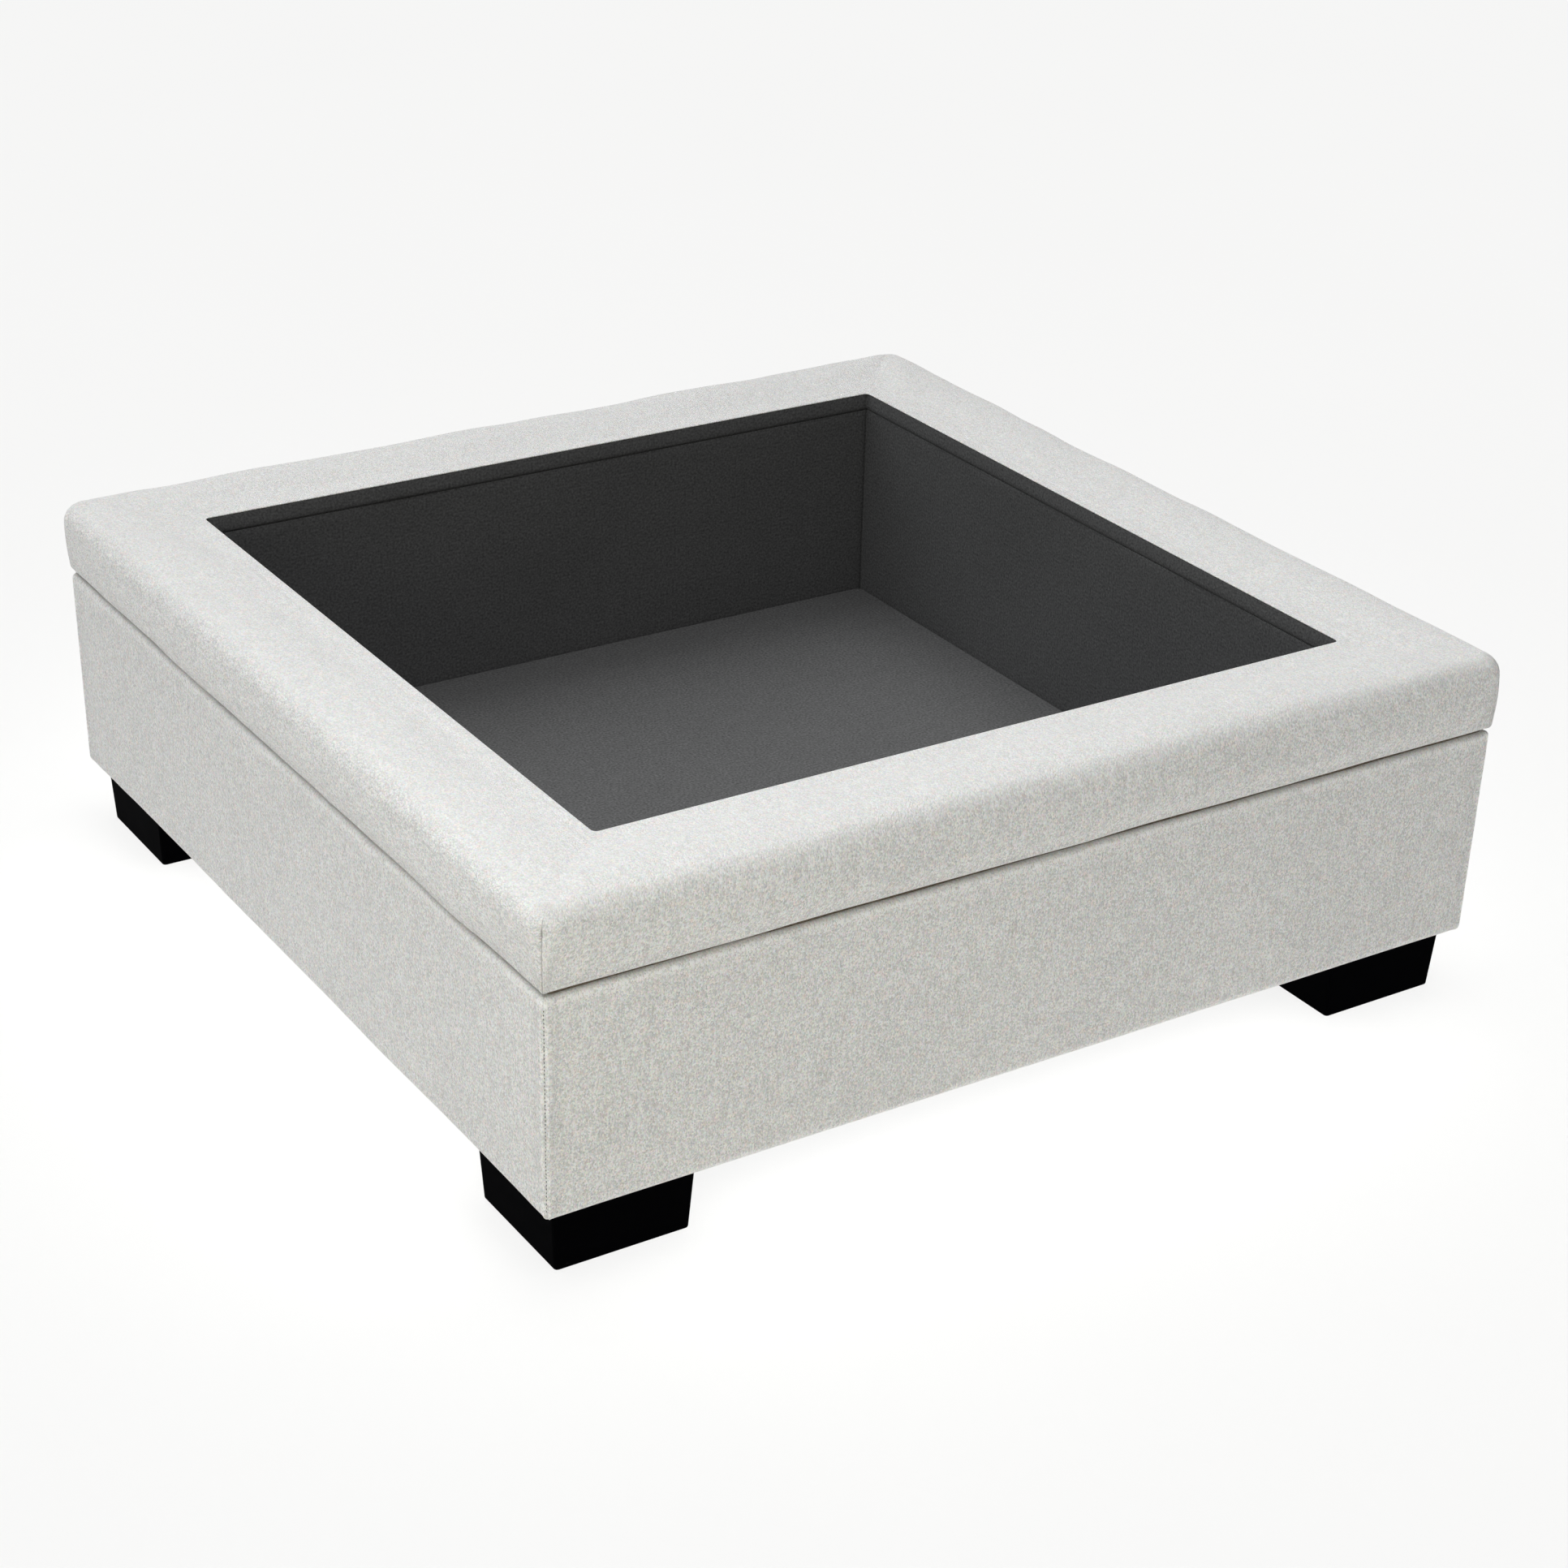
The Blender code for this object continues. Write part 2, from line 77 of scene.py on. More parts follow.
def add_camera():
    """A long lens that looks down on the near left corner, with a slight roll."""
    place = Vector(CAMERA_PLACE)
    turn, rise, roll = (math.radians(angle) for angle in (CAMERA_TURN, CAMERA_RISE, CAMERA_ROLL))
    back = Vector((math.sin(turn) * math.cos(rise), -math.cos(turn) * math.cos(rise), math.sin(rise)))
    level_right = Vector((math.cos(turn), math.sin(turn), 0.0))
    level_up = back.cross(level_right)
    right = math.cos(roll) * level_right + math.sin(roll) * level_up
    up = math.cos(roll) * level_up - math.sin(roll) * level_right
    data = bpy.data.cameras.new("camera")
    data.sensor_width = SENSOR_WIDTH
    data.lens = LENS
    camera = bpy.data.objects.new("camera", data)
    bpy.context.scene.collection.objects.link(camera)
    turned = Matrix((right, up, back)).transposed().to_4x4()
    camera.matrix_world = Matrix.Translation(place) @ turned
    bpy.context.scene.camera = camera


def light_only(light, name, floor, state):
    """Keeps a light off the studio floor, or to the floor alone, with nothing in the floor light's way."""
    lit = bpy.data.collections.new(name)
    lit.objects.link(floor)
    light.light_linking.receiver_collection = lit
    lit.collection_objects[0].light_linking.link_state = state
    if state == "INCLUDE":
        light.light_linking.blocker_collection = lit


def add_area_light(name, place, target, size, power, color):
    """A square soft light of size metres, turned to face target."""
    data = bpy.data.lights.new(name, "AREA")
    data.shape = "SQUARE"
    data.size = size
    data.energy = power
    data.color = color
    light = bpy.data.objects.new(name, data)
    bpy.context.scene.collection.objects.link(light)
    light.location = place
    light.rotation_euler = (Vector(target) - Vector(place)).to_track_quat("-Z", "Y").to_euler()
    return light


def add_sun(name, azimuth, elevation, spread, power, color):
    """A very soft distant light; azimuth 0 is in front of the ottoman and 90 to its right, in degrees."""
    data = bpy.data.lights.new(name, "SUN")
    data.energy = power
    data.angle = math.radians(spread)
    data.color = color
    light = bpy.data.objects.new(name, data)
    bpy.context.scene.collection.objects.link(light)
    turn, rise = math.radians(azimuth), math.radians(elevation)
    toward = Vector((math.sin(turn) * math.cos(rise), -math.cos(turn) * math.cos(rise), math.sin(rise)))
    light.rotation_euler = (-toward).to_track_quat("-Z", "Y").to_euler()
    return light


def add_studio():
    scene = bpy.context.scene
    scene.view_settings.view_transform = "Standard"
    world = bpy.data.worlds.new("studio")
    world.use_nodes = True
    background = world.node_tree.nodes["Background"]
    background.inputs["Color"].default_value = (1.0, 1.0, 1.0, 1.0)
    background.inputs["Strength"].default_value = WORLD_STRENGTH
    scene.world = world
    middle = (0.0, 0.0, 0.25)
    lights = [
        add_sun("key_from_behind", 175.0, 55.0, 50.0, 1.50, (0.98, 0.99, 1.0)),
        add_sun("overhead", 0.0, 89.0, 60.0, 0.72, (1.0, 1.0, 1.0)),
        add_sun("back_left", -112.0, 42.0, 50.0, 0.26, (0.88, 0.94, 1.0)),
        add_area_light("overhead_left", (-1.2, -0.9, 2.4), middle, 1.5, 21.5, (0.98, 0.99, 1.0)),
        add_area_light("low_front", (-1.25, -1.75, 0.5), (-0.2, -0.5, 0.2), 0.8, 3.3, (1.0, 0.97, 0.70)),
    ]
    wash = add_sun("floor_wash", 0.0, 89.0, 40.0, 2.92, (1.0, 1.0, 1.0))
    corners = [(x * FLOOR_REACH, y * FLOOR_REACH, 0.0) for x, y in ((-1, -1), (1, -1), (1, 1), (-1, 1))]
    floor = mesh_object("studio_floor", corners, [(0, 1, 2, 3)], floor_material())
    for light in lights:
        light_only(light, "floor_unlit_by_" + light.name, floor, "EXCLUDE")
    light_only(wash, "floor_alone", floor, "INCLUDE")


# ---- materials


class Nodes:
    """Short ways to add and link the shader nodes of a new material."""

    def __init__(self, name):
        self.material = bpy.data.materials.new(name)
        self.material.use_nodes = True
        self.tree = self.material.node_tree
        self.shader = self.tree.nodes["Principled BSDF"]

    def put(self, socket, value):
        if isinstance(value, bpy.types.NodeSocket):
            self.tree.links.new(value, socket)
        elif value is not None:
            socket.default_value = value

    def add(self, kind, inputs=None, **settings):
        node = self.tree.nodes.new("ShaderNode" + kind)
        for name, value in settings.items():
            setattr(node, name, value)
        for name, value in (inputs or {}).items():
            self.put(node.inputs[name], value)
        return node

    def math(self, operation, *values):
        node = self.add("Math", operation=operation)
        for socket, value in zip(node.inputs, values):
            self.put(socket, value)
        return node.outputs[0]

    def vector(self, operation, *values):
        node = self.add("VectorMath", operation=operation)
        for socket, value in zip(node.inputs, values):
            self.put(socket, value)
        return node.outputs["Vector"]

    def scaled(self, vector, scale):
        return self.vector("MULTIPLY", vector, scale)

    def noise(self, vector, scale=1.0, detail=2.0, output="Fac"):
        return self.add("TexNoise", {"Vector": vector, "Scale": scale, "Detail": detail}).outputs[output]

    def spread(self, value, low, high):
        """A 0 to 1 value taken to low to high."""
        return self.math("MULTIPLY_ADD", value, high - low, low)

    def step(self, value, start, end, low=0.0, high=1.0):
        """Low at start and high at end, and level beyond them, with a smooth turn between."""
        ranges = {"From Min": start, "From Max": end, "To Min": low, "To Max": high}
        node = self.add("MapRange", {"Value": value, **ranges})
        node.interpolation_type = "SMOOTHSTEP"
        return node.outputs["Result"]

    def scaled_color(self, color, tone):
        node = self.add("VectorMath", operation="SCALE")
        self.put(node.inputs[0], color)
        self.put(node.inputs["Scale"], tone)
        return node.outputs["Vector"]

    def mix(self, factor, first, second):
        node = self.add("Mix", data_type="RGBA")
        self.put(node.inputs[0], factor)
        self.put(node.inputs[6], first)
        self.put(node.inputs[7], second)
        return node.outputs[2]

    def place(self):
        """The object's own coordinates, in metres."""
        return self.add("TexCoord").outputs["Object"]

    def cloth_place(self):
        """Metres across and along the cloth, as the piece's mesh stores them, then the panel's number."""
        return self.add("Attribute", attribute_name="cloth").outputs["Vector"]

    def bump(self, height, distance, strength):
        inputs = {"Height": height, "Distance": distance, "Strength": strength}
        return self.add("Bump", inputs).outputs["Normal"]

    def finish(self, color=None, normal=None, roughness=None, **constants):
        self.put(self.shader.inputs["Base Color"], color)
        self.put(self.shader.inputs["Normal"], normal)
        self.put(self.shader.inputs["Roughness"], roughness)
        for name, value in constants.items():
            self.shader.inputs[name.replace("_", " ")].default_value = value
        return self.material


def floor_material():
    nodes = Nodes("studio_floor")
    soft = nodes.noise(nodes.place(), 1.3)
    color = nodes.mix(soft, (0.90, 0.90, 0.895, 1.0), (0.91, 0.91, 0.905, 1.0))
    return nodes.finish(color, roughness=0.9, Specular_IOR_Level=0.1)


def outer_cloth():
    """Pale chenille: plump irregular yarns, flecked with warm and cool fibres, over a soft mottling."""
    nodes = Nodes("outer_cloth")
    place = nodes.cloth_place()
    wander = nodes.vector("SUBTRACT", nodes.noise(place, 900.0, 1.0, "Color"), (0.5, 0.5, 0.5))
    place_off = nodes.vector("ADD", place, nodes.scaled(wander, (0.0012, 0.0012, 0.0)))
    yarn = nodes.add("TexVoronoi", {"Vector": nodes.scaled(place_off, (830.0, 560.0, 17.0)), "Scale": 1.0})
    hue = nodes.vector("SUBTRACT", yarn.outputs["Color"], (0.5, 0.5, 0.5))
    tone_cell = nodes.add("TexWhiteNoise", {"Vector": yarn.outputs["Position"]}).outputs["Value"]
    fibre = nodes.noise(place, 2300.0, 2.0)
    clump = nodes.noise(place, 330.0, 2.0)
    mottling = nodes.noise(place, 60.0, 3.0)
    cloud = nodes.noise(place, 7.0, 2.0)
    streak = nodes.noise(nodes.scaled(place, (320.0, 24.0, 5.0)), 1.0, 1.0)
    painted_light = nodes.add("Attribute", attribute_name="painted_light").outputs["Fac"]
    tone = nodes.spread(tone_cell, 0.87, 1.13)
    parts = (
        (fibre, 0.90, 1.10), (clump, 0.90, 1.10), (mottling, 0.94, 1.06),
        (cloud, 0.975, 1.025), (streak, 0.94, 1.06),
    )
    for part, low, high in parts:
        tone = nodes.math("MULTIPLY", tone, nodes.spread(part, low, high))
    # The yarns' tone varies more on upright faces: painted light and shade of the yarn relief, as light
    # grazing the sides would show it.
    facing = nodes.add("SeparateXYZ", {"Vector": nodes.add("NewGeometry").outputs["Normal"]}).outputs["Z"]
    upright_yarn_shade = nodes.step(nodes.math("ABSOLUTE", facing), 0.95, 0.25, 0.85, 1.7)
    tone = nodes.math("MULTIPLY_ADD", nodes.math("SUBTRACT", tone, 1.0), upright_yarn_shade, 1.0)
    # The mesh's per-point attribute scales the tone: painted highlight above 0, painted shade below 0.
    tone = nodes.math("MULTIPLY", tone, nodes.spread(painted_light, 1.0, 1.16))
    blush = nodes.step(nodes.noise(place, 95.0, 3.0), 0.50, 0.68)
    blush = nodes.math("MULTIPLY", blush, 0.7)
    color = nodes.mix(blush, (0.832, 0.830, 0.812, 1.0), (0.862, 0.808, 0.774, 1.0))
    color = nodes.vector("MULTIPLY_ADD", hue, (0.10, 0.08, 0.10), color)
    color = nodes.scaled_color(color, tone)
    plump = nodes.math("SUBTRACT", 1.0, yarn.outputs["Distance"])
    height = nodes.math("ADD", plump, nodes.math("MULTIPLY", fibre, 0.5))
    normal = nodes.bump(height, 0.0009, 0.9)
    return nodes.finish(color, normal, 0.95, Specular_IOR_Level=0.2, Sheen_Weight=0.15, Sheen_Roughness=0.5)


def dark_cloth(name, color, weave=1400.0):
    """Smooth plain-weave cloth in a dark color; weave is how fine its grain is."""
    nodes = Nodes(name)
    place = nodes.cloth_place()
    bands = {"Vector": place, "Scale": weave / 20.0, "Distortion": 0.6}
    across = nodes.add("TexWave", bands, bands_direction="X")
    along = nodes.add("TexWave", bands, bands_direction="Y")
    threads = nodes.math("MULTIPLY", across.outputs["Fac"], along.outputs["Fac"])
    grain = nodes.noise(place, weave, 2.0)
    tone = nodes.spread(grain, 0.70, 1.30)
    for size, low, high in ((370.0, 0.0, 2.0), (60.0, 0.88, 1.12), (11.0, 0.94, 1.06)):
        tone = nodes.math("MULTIPLY", tone, nodes.spread(nodes.noise(place, size, 3.0), low, high))
    color = nodes.scaled_color(color, tone)
    normal = nodes.bump(nodes.math("ADD", threads, grain), 0.00012, 0.5)
    return nodes.finish(color, normal, 0.9, Specular_IOR_Level=0.25, Sheen_Weight=0.1, Sheen_Roughness=0.45)


def black_lacquer():
    """Black satin paint over wood: faint brush-and-grain ripple, rubbed thin in small scuffs."""
    nodes = Nodes("black_lacquer")
    place = nodes.place()
    grain = nodes.noise(nodes.scaled(place, (18.0, 18.0, 260.0)), 1.0, 4.0)
    orange_peel = nodes.noise(place, 420.0, 2.0)
    smear = nodes.noise(place, 26.0, 4.0)
    scuff = nodes.step(nodes.noise(nodes.scaled(place, (90.0, 90.0, 240.0)), 1.0, 5.0), 0.70, 0.78)
    worn = nodes.math("MULTIPLY", scuff, 0.5)
    color = nodes.mix(worn, (0.0012, 0.0012, 0.0016, 1.0), (0.012, 0.012, 0.012, 1.0))
    roughness = nodes.math("ADD", nodes.spread(smear, 0.34, 0.50), nodes.math("MULTIPLY", scuff, 0.25))
    height = nodes.math("ADD", grain, nodes.math("MULTIPLY", orange_peel, 0.3))
    return nodes.finish(color, nodes.bump(height, 0.0001, 0.4), roughness, Specular_IOR_Level=0.001)


def plywood():
    nodes = Nodes("plywood")
    place = nodes.place()
    wander = nodes.noise(nodes.scaled(place, (9.0, 9.0, 4.0)), 1.0, 3.0)
    grain = nodes.noise(nodes.scaled(place, (14.0, 14.0, 260.0)), 1.0, 5.0)
    pores = nodes.noise(nodes.scaled(place, (90.0, 90.0, 1800.0)), 1.0, 2.0)
    color = nodes.mix(grain, (0.56, 0.39, 0.23, 1.0), (0.40, 0.26, 0.14, 1.0))
    color = nodes.mix(nodes.step(wander, 0.35, 0.75, 0.0, 0.4), color, (0.63, 0.47, 0.29, 1.0))
    color = nodes.mix(nodes.step(pores, 0.62, 0.74, 0.0, 0.45), color, (0.20, 0.12, 0.06, 1.0))
    return nodes.finish(color, nodes.bump(pores, 0.0002, 0.5), 0.7, Specular_IOR_Level=0.3)


def timber():
    nodes = Nodes("timber")
    place = nodes.place()
    stretched = nodes.scaled(place, (1.6, 1.6, 30.0))
    bands = {"Vector": stretched, "Scale": 2.0, "Distortion": 5.0, "Detail": 3.0, "Detail Scale": 1.2}
    rings = nodes.add("TexWave", bands, bands_direction="Z")
    pores = nodes.noise(nodes.scaled(place, (60.0, 60.0, 900.0)), 1.0, 3.0)
    color = nodes.mix(rings.outputs["Fac"], (0.66, 0.50, 0.30, 1.0), (0.50, 0.34, 0.18, 1.0))
    color = nodes.mix(nodes.step(pores, 0.60, 0.75, 0.0, 0.3), color, (0.33, 0.20, 0.10, 1.0))
    return nodes.finish(color, nodes.bump(pores, 0.0002, 0.4), 0.75, Specular_IOR_Level=0.3)


def zinc_steel():
    nodes = Nodes("zinc_steel")
    place = nodes.place()
    spangle = nodes.add("TexVoronoi", {"Vector": place, "Scale": 700.0})
    tint = nodes.add("SeparateColor", {"Color": spangle.outputs["Color"]}).outputs[0]
    color = nodes.mix(tint, (0.56, 0.58, 0.60, 1.0), (0.68, 0.69, 0.66, 1.0))
    brushed = nodes.noise(nodes.scaled(place, (900.0, 900.0, 60.0)), 1.0, 2.0)
    roughness = nodes.spread(brushed, 0.28, 0.45)
    return nodes.finish(color, nodes.bump(brushed, 0.00005, 0.3), roughness, Metallic=1.0)


def thread(name, color):
    """Twisted sewing thread."""
    nodes = Nodes(name)
    place = nodes.place()
    bands = {"Vector": place, "Scale": 600.0, "Distortion": 2.0}
    twist = nodes.add("TexWave", bands, bands_direction="DIAGONAL").outputs["Fac"]
    color = nodes.scaled_color(color, nodes.spread(twist, 0.8, 1.1))
    return nodes.finish(color, nodes.bump(twist, 0.0001, 0.5), 0.7)


# ---- mesh building


def mesh_object(name, points, faces, material, cloth=None, smooth=True):
    mesh = bpy.data.meshes.new(name)
    mesh.from_pydata([tuple(p) for p in points], [], [tuple(f) for f in faces])
    if cloth is not None:
        attribute = mesh.attributes.new("cloth", "FLOAT_VECTOR", "POINT")
        attribute.data.foreach_set("vector", np.asarray(cloth, np.float32).ravel())
    mesh.polygons.foreach_set("use_smooth", [smooth] * len(mesh.polygons))
    mesh.materials.append(material)
    mesh.update()
    obj = bpy.data.objects.new(name, mesh)
    bpy.context.scene.collection.objects.link(obj)
    return obj


def grid_faces(rows, columns, close_rows):
    """Quads of a grid whose columns run once round; its rows may close on themselves too."""
    faces = []
    for row in range(rows if close_rows else rows - 1):
        low, high = row * columns, (row + 1) % rows * columns
        for column in range(columns):
            beside = (column + 1) % columns
            faces.append((low + column, low + beside, high + beside, high + column))
    return faces


def reversed_faces(faces):
    return [tuple(reversed(face)) for face in faces]


def band_object(name, points, material, cloth, close_rows=False):
    """Cloth that runs once round the ottoman, from a grid of points; it may be a closed tube."""
    rows, columns = points.shape[:2]
    faces = reversed_faces(grid_faces(rows, columns, close_rows))
    return mesh_object(name, points.reshape(-1, 3), faces, material, cloth.reshape(-1, 3))


def set_painted_light(obj, painted_light):
    """Painted light and shade on the cloth, per point: painted highlight above 0 and painted shade below 0.
    """
    attribute = obj.data.attributes.new("painted_light", "FLOAT", "POINT")
    attribute.data.foreach_set("value", np.asarray(painted_light, np.float32).ravel())


def smooth(obj, levels):
    modifier = obj.modifiers.new("smooth", "SUBSURF")
    modifier.levels = modifier.render_levels = levels


def thicken(obj, thickness, offset):
    modifier = obj.modifiers.new("thickness", "SOLIDIFY")
    modifier.thickness = thickness
    modifier.offset = offset


class Round:
    """Columns of points round a square with rounded corners, evenly numbered on each side."""

    def __init__(self, straight, corner):
        """straight and corner are shares from 0 to 1, along a side and round the corner after it."""
        side, share, angle = [], [], []
        for number in range(4):
            side += [number] * (len(straight) + len(corner))
            share += [2 * s - 1 for s in straight] + [1.0] * len(corner)
            angle += [0.0] * len(straight) + [c * QUARTER for c in corner]
        self.side, self.share, self.angle = np.array(side), np.array(share), np.array(angle)
        self.along, self.outward = ALONG[self.side], OUTWARD[self.side]
        self.normal = (
            np.cos(self.angle)[:, None] * self.outward + np.sin(self.angle)[:, None] * self.along
        )
        self.count = len(self.side)
        # Distance from the middle of the side, in half sides, with the corner shared between its two sides.
        self.turn = np.where(self.angle > QUARTER / 2 + 1e-9, self.angle - QUARTER, self.angle)

    def points(self, half, radius, z):
        """One row of points for each half width, corner radius and height."""
        half, radius, z = (np.asarray(v, float)[:, None, None] for v in (half, radius, z))
        straight = half - radius
        flat = (
            straight * self.outward
            + straight * self.share[None, :, None] * self.along
            + radius * self.normal
        )
        return np.concatenate([flat, np.broadcast_to(z, flat.shape[:2] + (1,))], axis=2)

    def run(self, half, radius):
        """Each column's distance along its own side's panel, from the side's middle to the corner seam."""
        next_side = self.angle > QUARTER / 2 + 1e-9
        middle = np.where(next_side, -1.0, self.share) * (half - radius)
        return middle + radius * self.turn, np.where(next_side, (self.side + 1) % 4, self.side)

    def run_round(self, half, radius):
        """The same distance, set 9 m apart for each side so that no two sides have the same waves."""
        return self.run(half, radius)[0][None, :] + 9 * self.side

    def pushed(self, points, distance):
        """Points moved outward, by a distance for each row and column."""
        normal = np.concatenate([self.normal, np.zeros((self.count, 1))], axis=1)
        return points + distance[:, :, None] * normal[None]


def corner_steps():
    """Places round a corner, close together at its seam."""
    half = [0.0, 0.06, 0.12, 0.18, 0.24, 0.29, 0.33, 0.36, 0.39, 0.415, 0.435, 0.455, 0.47, 0.485]
    return half + [0.5] + [1 - share for share in reversed(half)]


def side_steps(count):
    """Places along a side, closer together towards its ends; the ends themselves belong to the corners."""
    share = np.arange(1, count + 1) / (count + 1)
    return list(0.45 * share + 0.55 * (0.5 - 0.5 * np.cos(math.pi * share)))


def from_seam(columns, half, radius):
    """Signed distance of each column from its nearest corner seam, round the loop."""
    beside = np.minimum(np.abs(1 - columns.share), np.abs(1 + columns.share)) * (half - radius)
    corner = radius * (columns.angle - QUARTER / 2)
    reach = radius * QUARTER / 2
    return np.where(columns.share < 1, reach + beside, corner)


def panel_cloth(columns, half, radius, rows, shape):
    """Weave places for four panels that run round a loop: along the panel, then up it."""
    along, panel = columns.run(half, radius)
    cloth = np.empty(shape)
    cloth[:, :, 0] = along[None, :]
    cloth[:, :, 1] = rows[:, None]
    cloth[:, :, 2] = (panel + 1)[None, :]
    return cloth


def path_length(points):
    steps = np.linalg.norm(np.diff(np.asarray(points), axis=0), axis=1)
    return np.concatenate([[0.0], np.cumsum(steps)])


def arc(center, radius, start, end, steps):
    """Points of a turn in (half, z), angles in degrees from straight out."""
    angles = np.radians(np.linspace(start, end, steps + 1))
    return [(center[0] + radius * math.cos(a), center[1] + radius * math.sin(a)) for a in angles]


def bell(value, width):
    return np.exp(-(np.asarray(value) / width) ** 2)


def waves(seed, along, across, size, count=24):
    """A smooth uneven field of height about 1, from seeded waves about size long."""
    chance = np.random.default_rng(seed)
    total = np.zeros(np.broadcast(along, across).shape)
    for _ in range(count):
        turn, phase = chance.uniform(0, 2 * math.pi, 2)
        number = 2 * math.pi / (size * chance.uniform(0.7, 1.6))
        total += np.sin(number * (along * math.cos(turn) + across * math.sin(turn)) + phase)
    return total / math.sqrt(count / 2)


def uneven(kinds, along, across):
    """Waves of several kinds added up, each with a seed, a height and a length."""
    return sum(height * waves(seed, along, across, size) for seed, height, size in kinds)


def folds(shape, beside):
    """Ridges and grooves along a seam: each has a height, a distance from the seam and a width."""
    return sum(height * bell(beside - distance, width) for height, distance, width in shape)


# ---- rim
# The rim is a foam ring under one piece of chenille, darted at its corners.

RIM_CORNER_R = 0.026           # seen from above, at the top roll
RIM_FOOT_CORNER_R = 0.008
RIM_TOP_R = 0.020
RIM_BOTTOM_R = 0.0095
RIM_TAPER = 0.0058             # how far the side leans in, from the top roll down to the foot
RIM_CROWN = 0.0022             # how high the stuffing lifts the top beside its outer roll
RIM_LIP_CROWN = 0.0008         # and beside the sewn lip
RIM_FOOT_Z = PARTING_Z + 0.0012
RIM_INNER = LINING_BACK + 0.0005
OPENING_CORNER_R = 0.006
INNER_WALL_CORNER_R = 0.0012   # of the cloth that is turned down behind the lining
LIP_Z = TOP_Z + 0.0004
LIP_R = 0.0009
LIP_WIDTH = 0.0125             # from the well's edge to the seam that holds the lip down
LIP_EASE = 0.0002              # how far the lip stands up beside that seam
HELD_LIP = 0.0155              # the lip and its seam don't swell
HELD_FOOT = 0.0020
SIDE_FROM_HALF = 0.53          # the outer side and its rolls lie beyond this half width
NET_SIDE_FROM_HALF = 0.545
SIDE_COLUMNS = 72
NET_SIDE_COLUMNS = 40
NET_CORNER_COLUMNS = 7
NET_CORNER_SHARE = 0.2         # of a side's turn round the loop, when two nets are matched
PRESSURE = 1.0
SWELL_FRAMES = 20
MAX_SWELL = 0.005
SWELL_EASE_LOW = 0.022
SWELL_EASE_IN = (0.013, 0.050)
RIM_WAVES = ((11, 0.0007, 0.17), (12, 0.00025, 0.06))
RIM_BULGE = 0.0006             # of each side, most at its middle
RIM_CALM, RIM_CALM_WIDTH = 0.7, 0.03
DART_TOP_Z = TOP_Z - RIM_TOP_R + 0.003
DART_REACH = 0.030
DART_FOLDS = ((-0.0008, 0.0, 0.0008), (0.0006, 0.0030, 0.0012), (0.0004, 0.0075, 0.0016),
              (-0.0004, 0.0150, 0.0060))
# Painted shade in the dart's groove and painted highlight on the ridges beside it, as shares of the cloth's
# tone.
DART_PAINTED_LIGHT = ((-0.8, 0.0, 0.0006), (0.7, 0.0030, 0.0010), (0.49, 0.0075, 0.0012))
PUCKER_DEPTH, PUCKER_WIDTH, PUCKER_TALL = 0.0024, 0.0014, 0.0035
# Painted shade in the dart's pucker.
PUCKER_PAINTED_SHADE = -2.6
DART_HANG, HANG_WIDTH = 0.0024, 0.011      # the dart's foot hangs below the edge on each side of it
# Painted shade along the rim's foot, where it turns under.
FOOT_PAINTED_SHADE = -0.55


def rim_profile(dense):
    """The rim's closed section as (half, z), from the foot of its inner wall round over the top."""
    under_lip = TOP_Z - CLOTH_T - 0.0001
    points = [(RIM_INNER, z) for z in np.linspace(RIM_FOOT_Z, TOP_Z - 0.003, 4)]
    points += [(RIM_INNER, under_lip), (WELL_HALF + 0.0008, under_lip)]
    points += arc((WELL_HALF + LIP_R, LIP_Z - LIP_R), LIP_R, 210, 90, 3)
    seam = WELL_HALF + LIP_WIDTH
    points += [(WELL_HALF + reach, LIP_Z + LIP_EASE) for reach in (0.004, 0.008, 0.0105)]
    points += [(seam - 0.0012, LIP_Z + LIP_EASE), (seam, LIP_Z)]
    points += [(seam + 0.0014, LIP_Z + 0.0003), (seam + 0.004, LIP_Z + 0.0006)]
    start, stop = seam + 0.009, RIM_HALF - RIM_TOP_R
    for half in np.linspace(start, stop, 9 * dense):
        share = (half - start) / (stop - start)
        points.append((half, TOP_Z + RIM_LIP_CROWN + (RIM_CROWN - RIM_LIP_CROWN) * share))
    top = TOP_Z + RIM_CROWN - RIM_TOP_R
    points += arc((stop, top), RIM_TOP_R, 90, 0, 6 * dense)[1:]
    low = RIM_FOOT_Z + RIM_BOTTOM_R
    for share in np.linspace(0, 1, 5 * dense + 1)[1:-1]:
        points.append((RIM_HALF - RIM_TAPER * share ** 1.5, top + (low - top) * share))
    tucked = RIM_HALF - RIM_TAPER - RIM_BOTTOM_R
    points += arc((tucked, low), RIM_BOTTOM_R, 0, -90, 4 * dense)
    points += [(half, RIM_FOOT_Z) for half in np.linspace(tucked - 0.004, RIM_INNER, 4 * dense)[:-1]]
    return np.array(points)


def rim_corner_radius(half, z):
    """Full at the top roll, and drawn in by the dart towards the rim's foot."""
    full = np.maximum(half - (RIM_HALF - RIM_CORNER_R), OPENING_CORNER_R)
    full = np.where(np.abs(half - LINING_BACK) < 0.001, INNER_WALL_CORNER_R, full)
    drop = np.clip((TOP_Z - RIM_TOP_R - z) / (TOP_Z - RIM_TOP_R - PARTING_Z), 0, 1)
    return np.where(half > 0.5, full + (RIM_FOOT_CORNER_R - full) * drop, full)


def rim_points(profile, columns):
    half, z = profile[:, 0], profile[:, 1]
    return columns.points(half, rim_corner_radius(half, z), z)


def held_rows(profile):
    """True for the rows that are tacked down: the inner wall, the sewn lip and the turned-under edge."""
    half, z = profile[:, 0], profile[:, 1]
    return (half < WELL_HALF + HELD_LIP) | (z < PARTING_Z + HELD_FOOT)


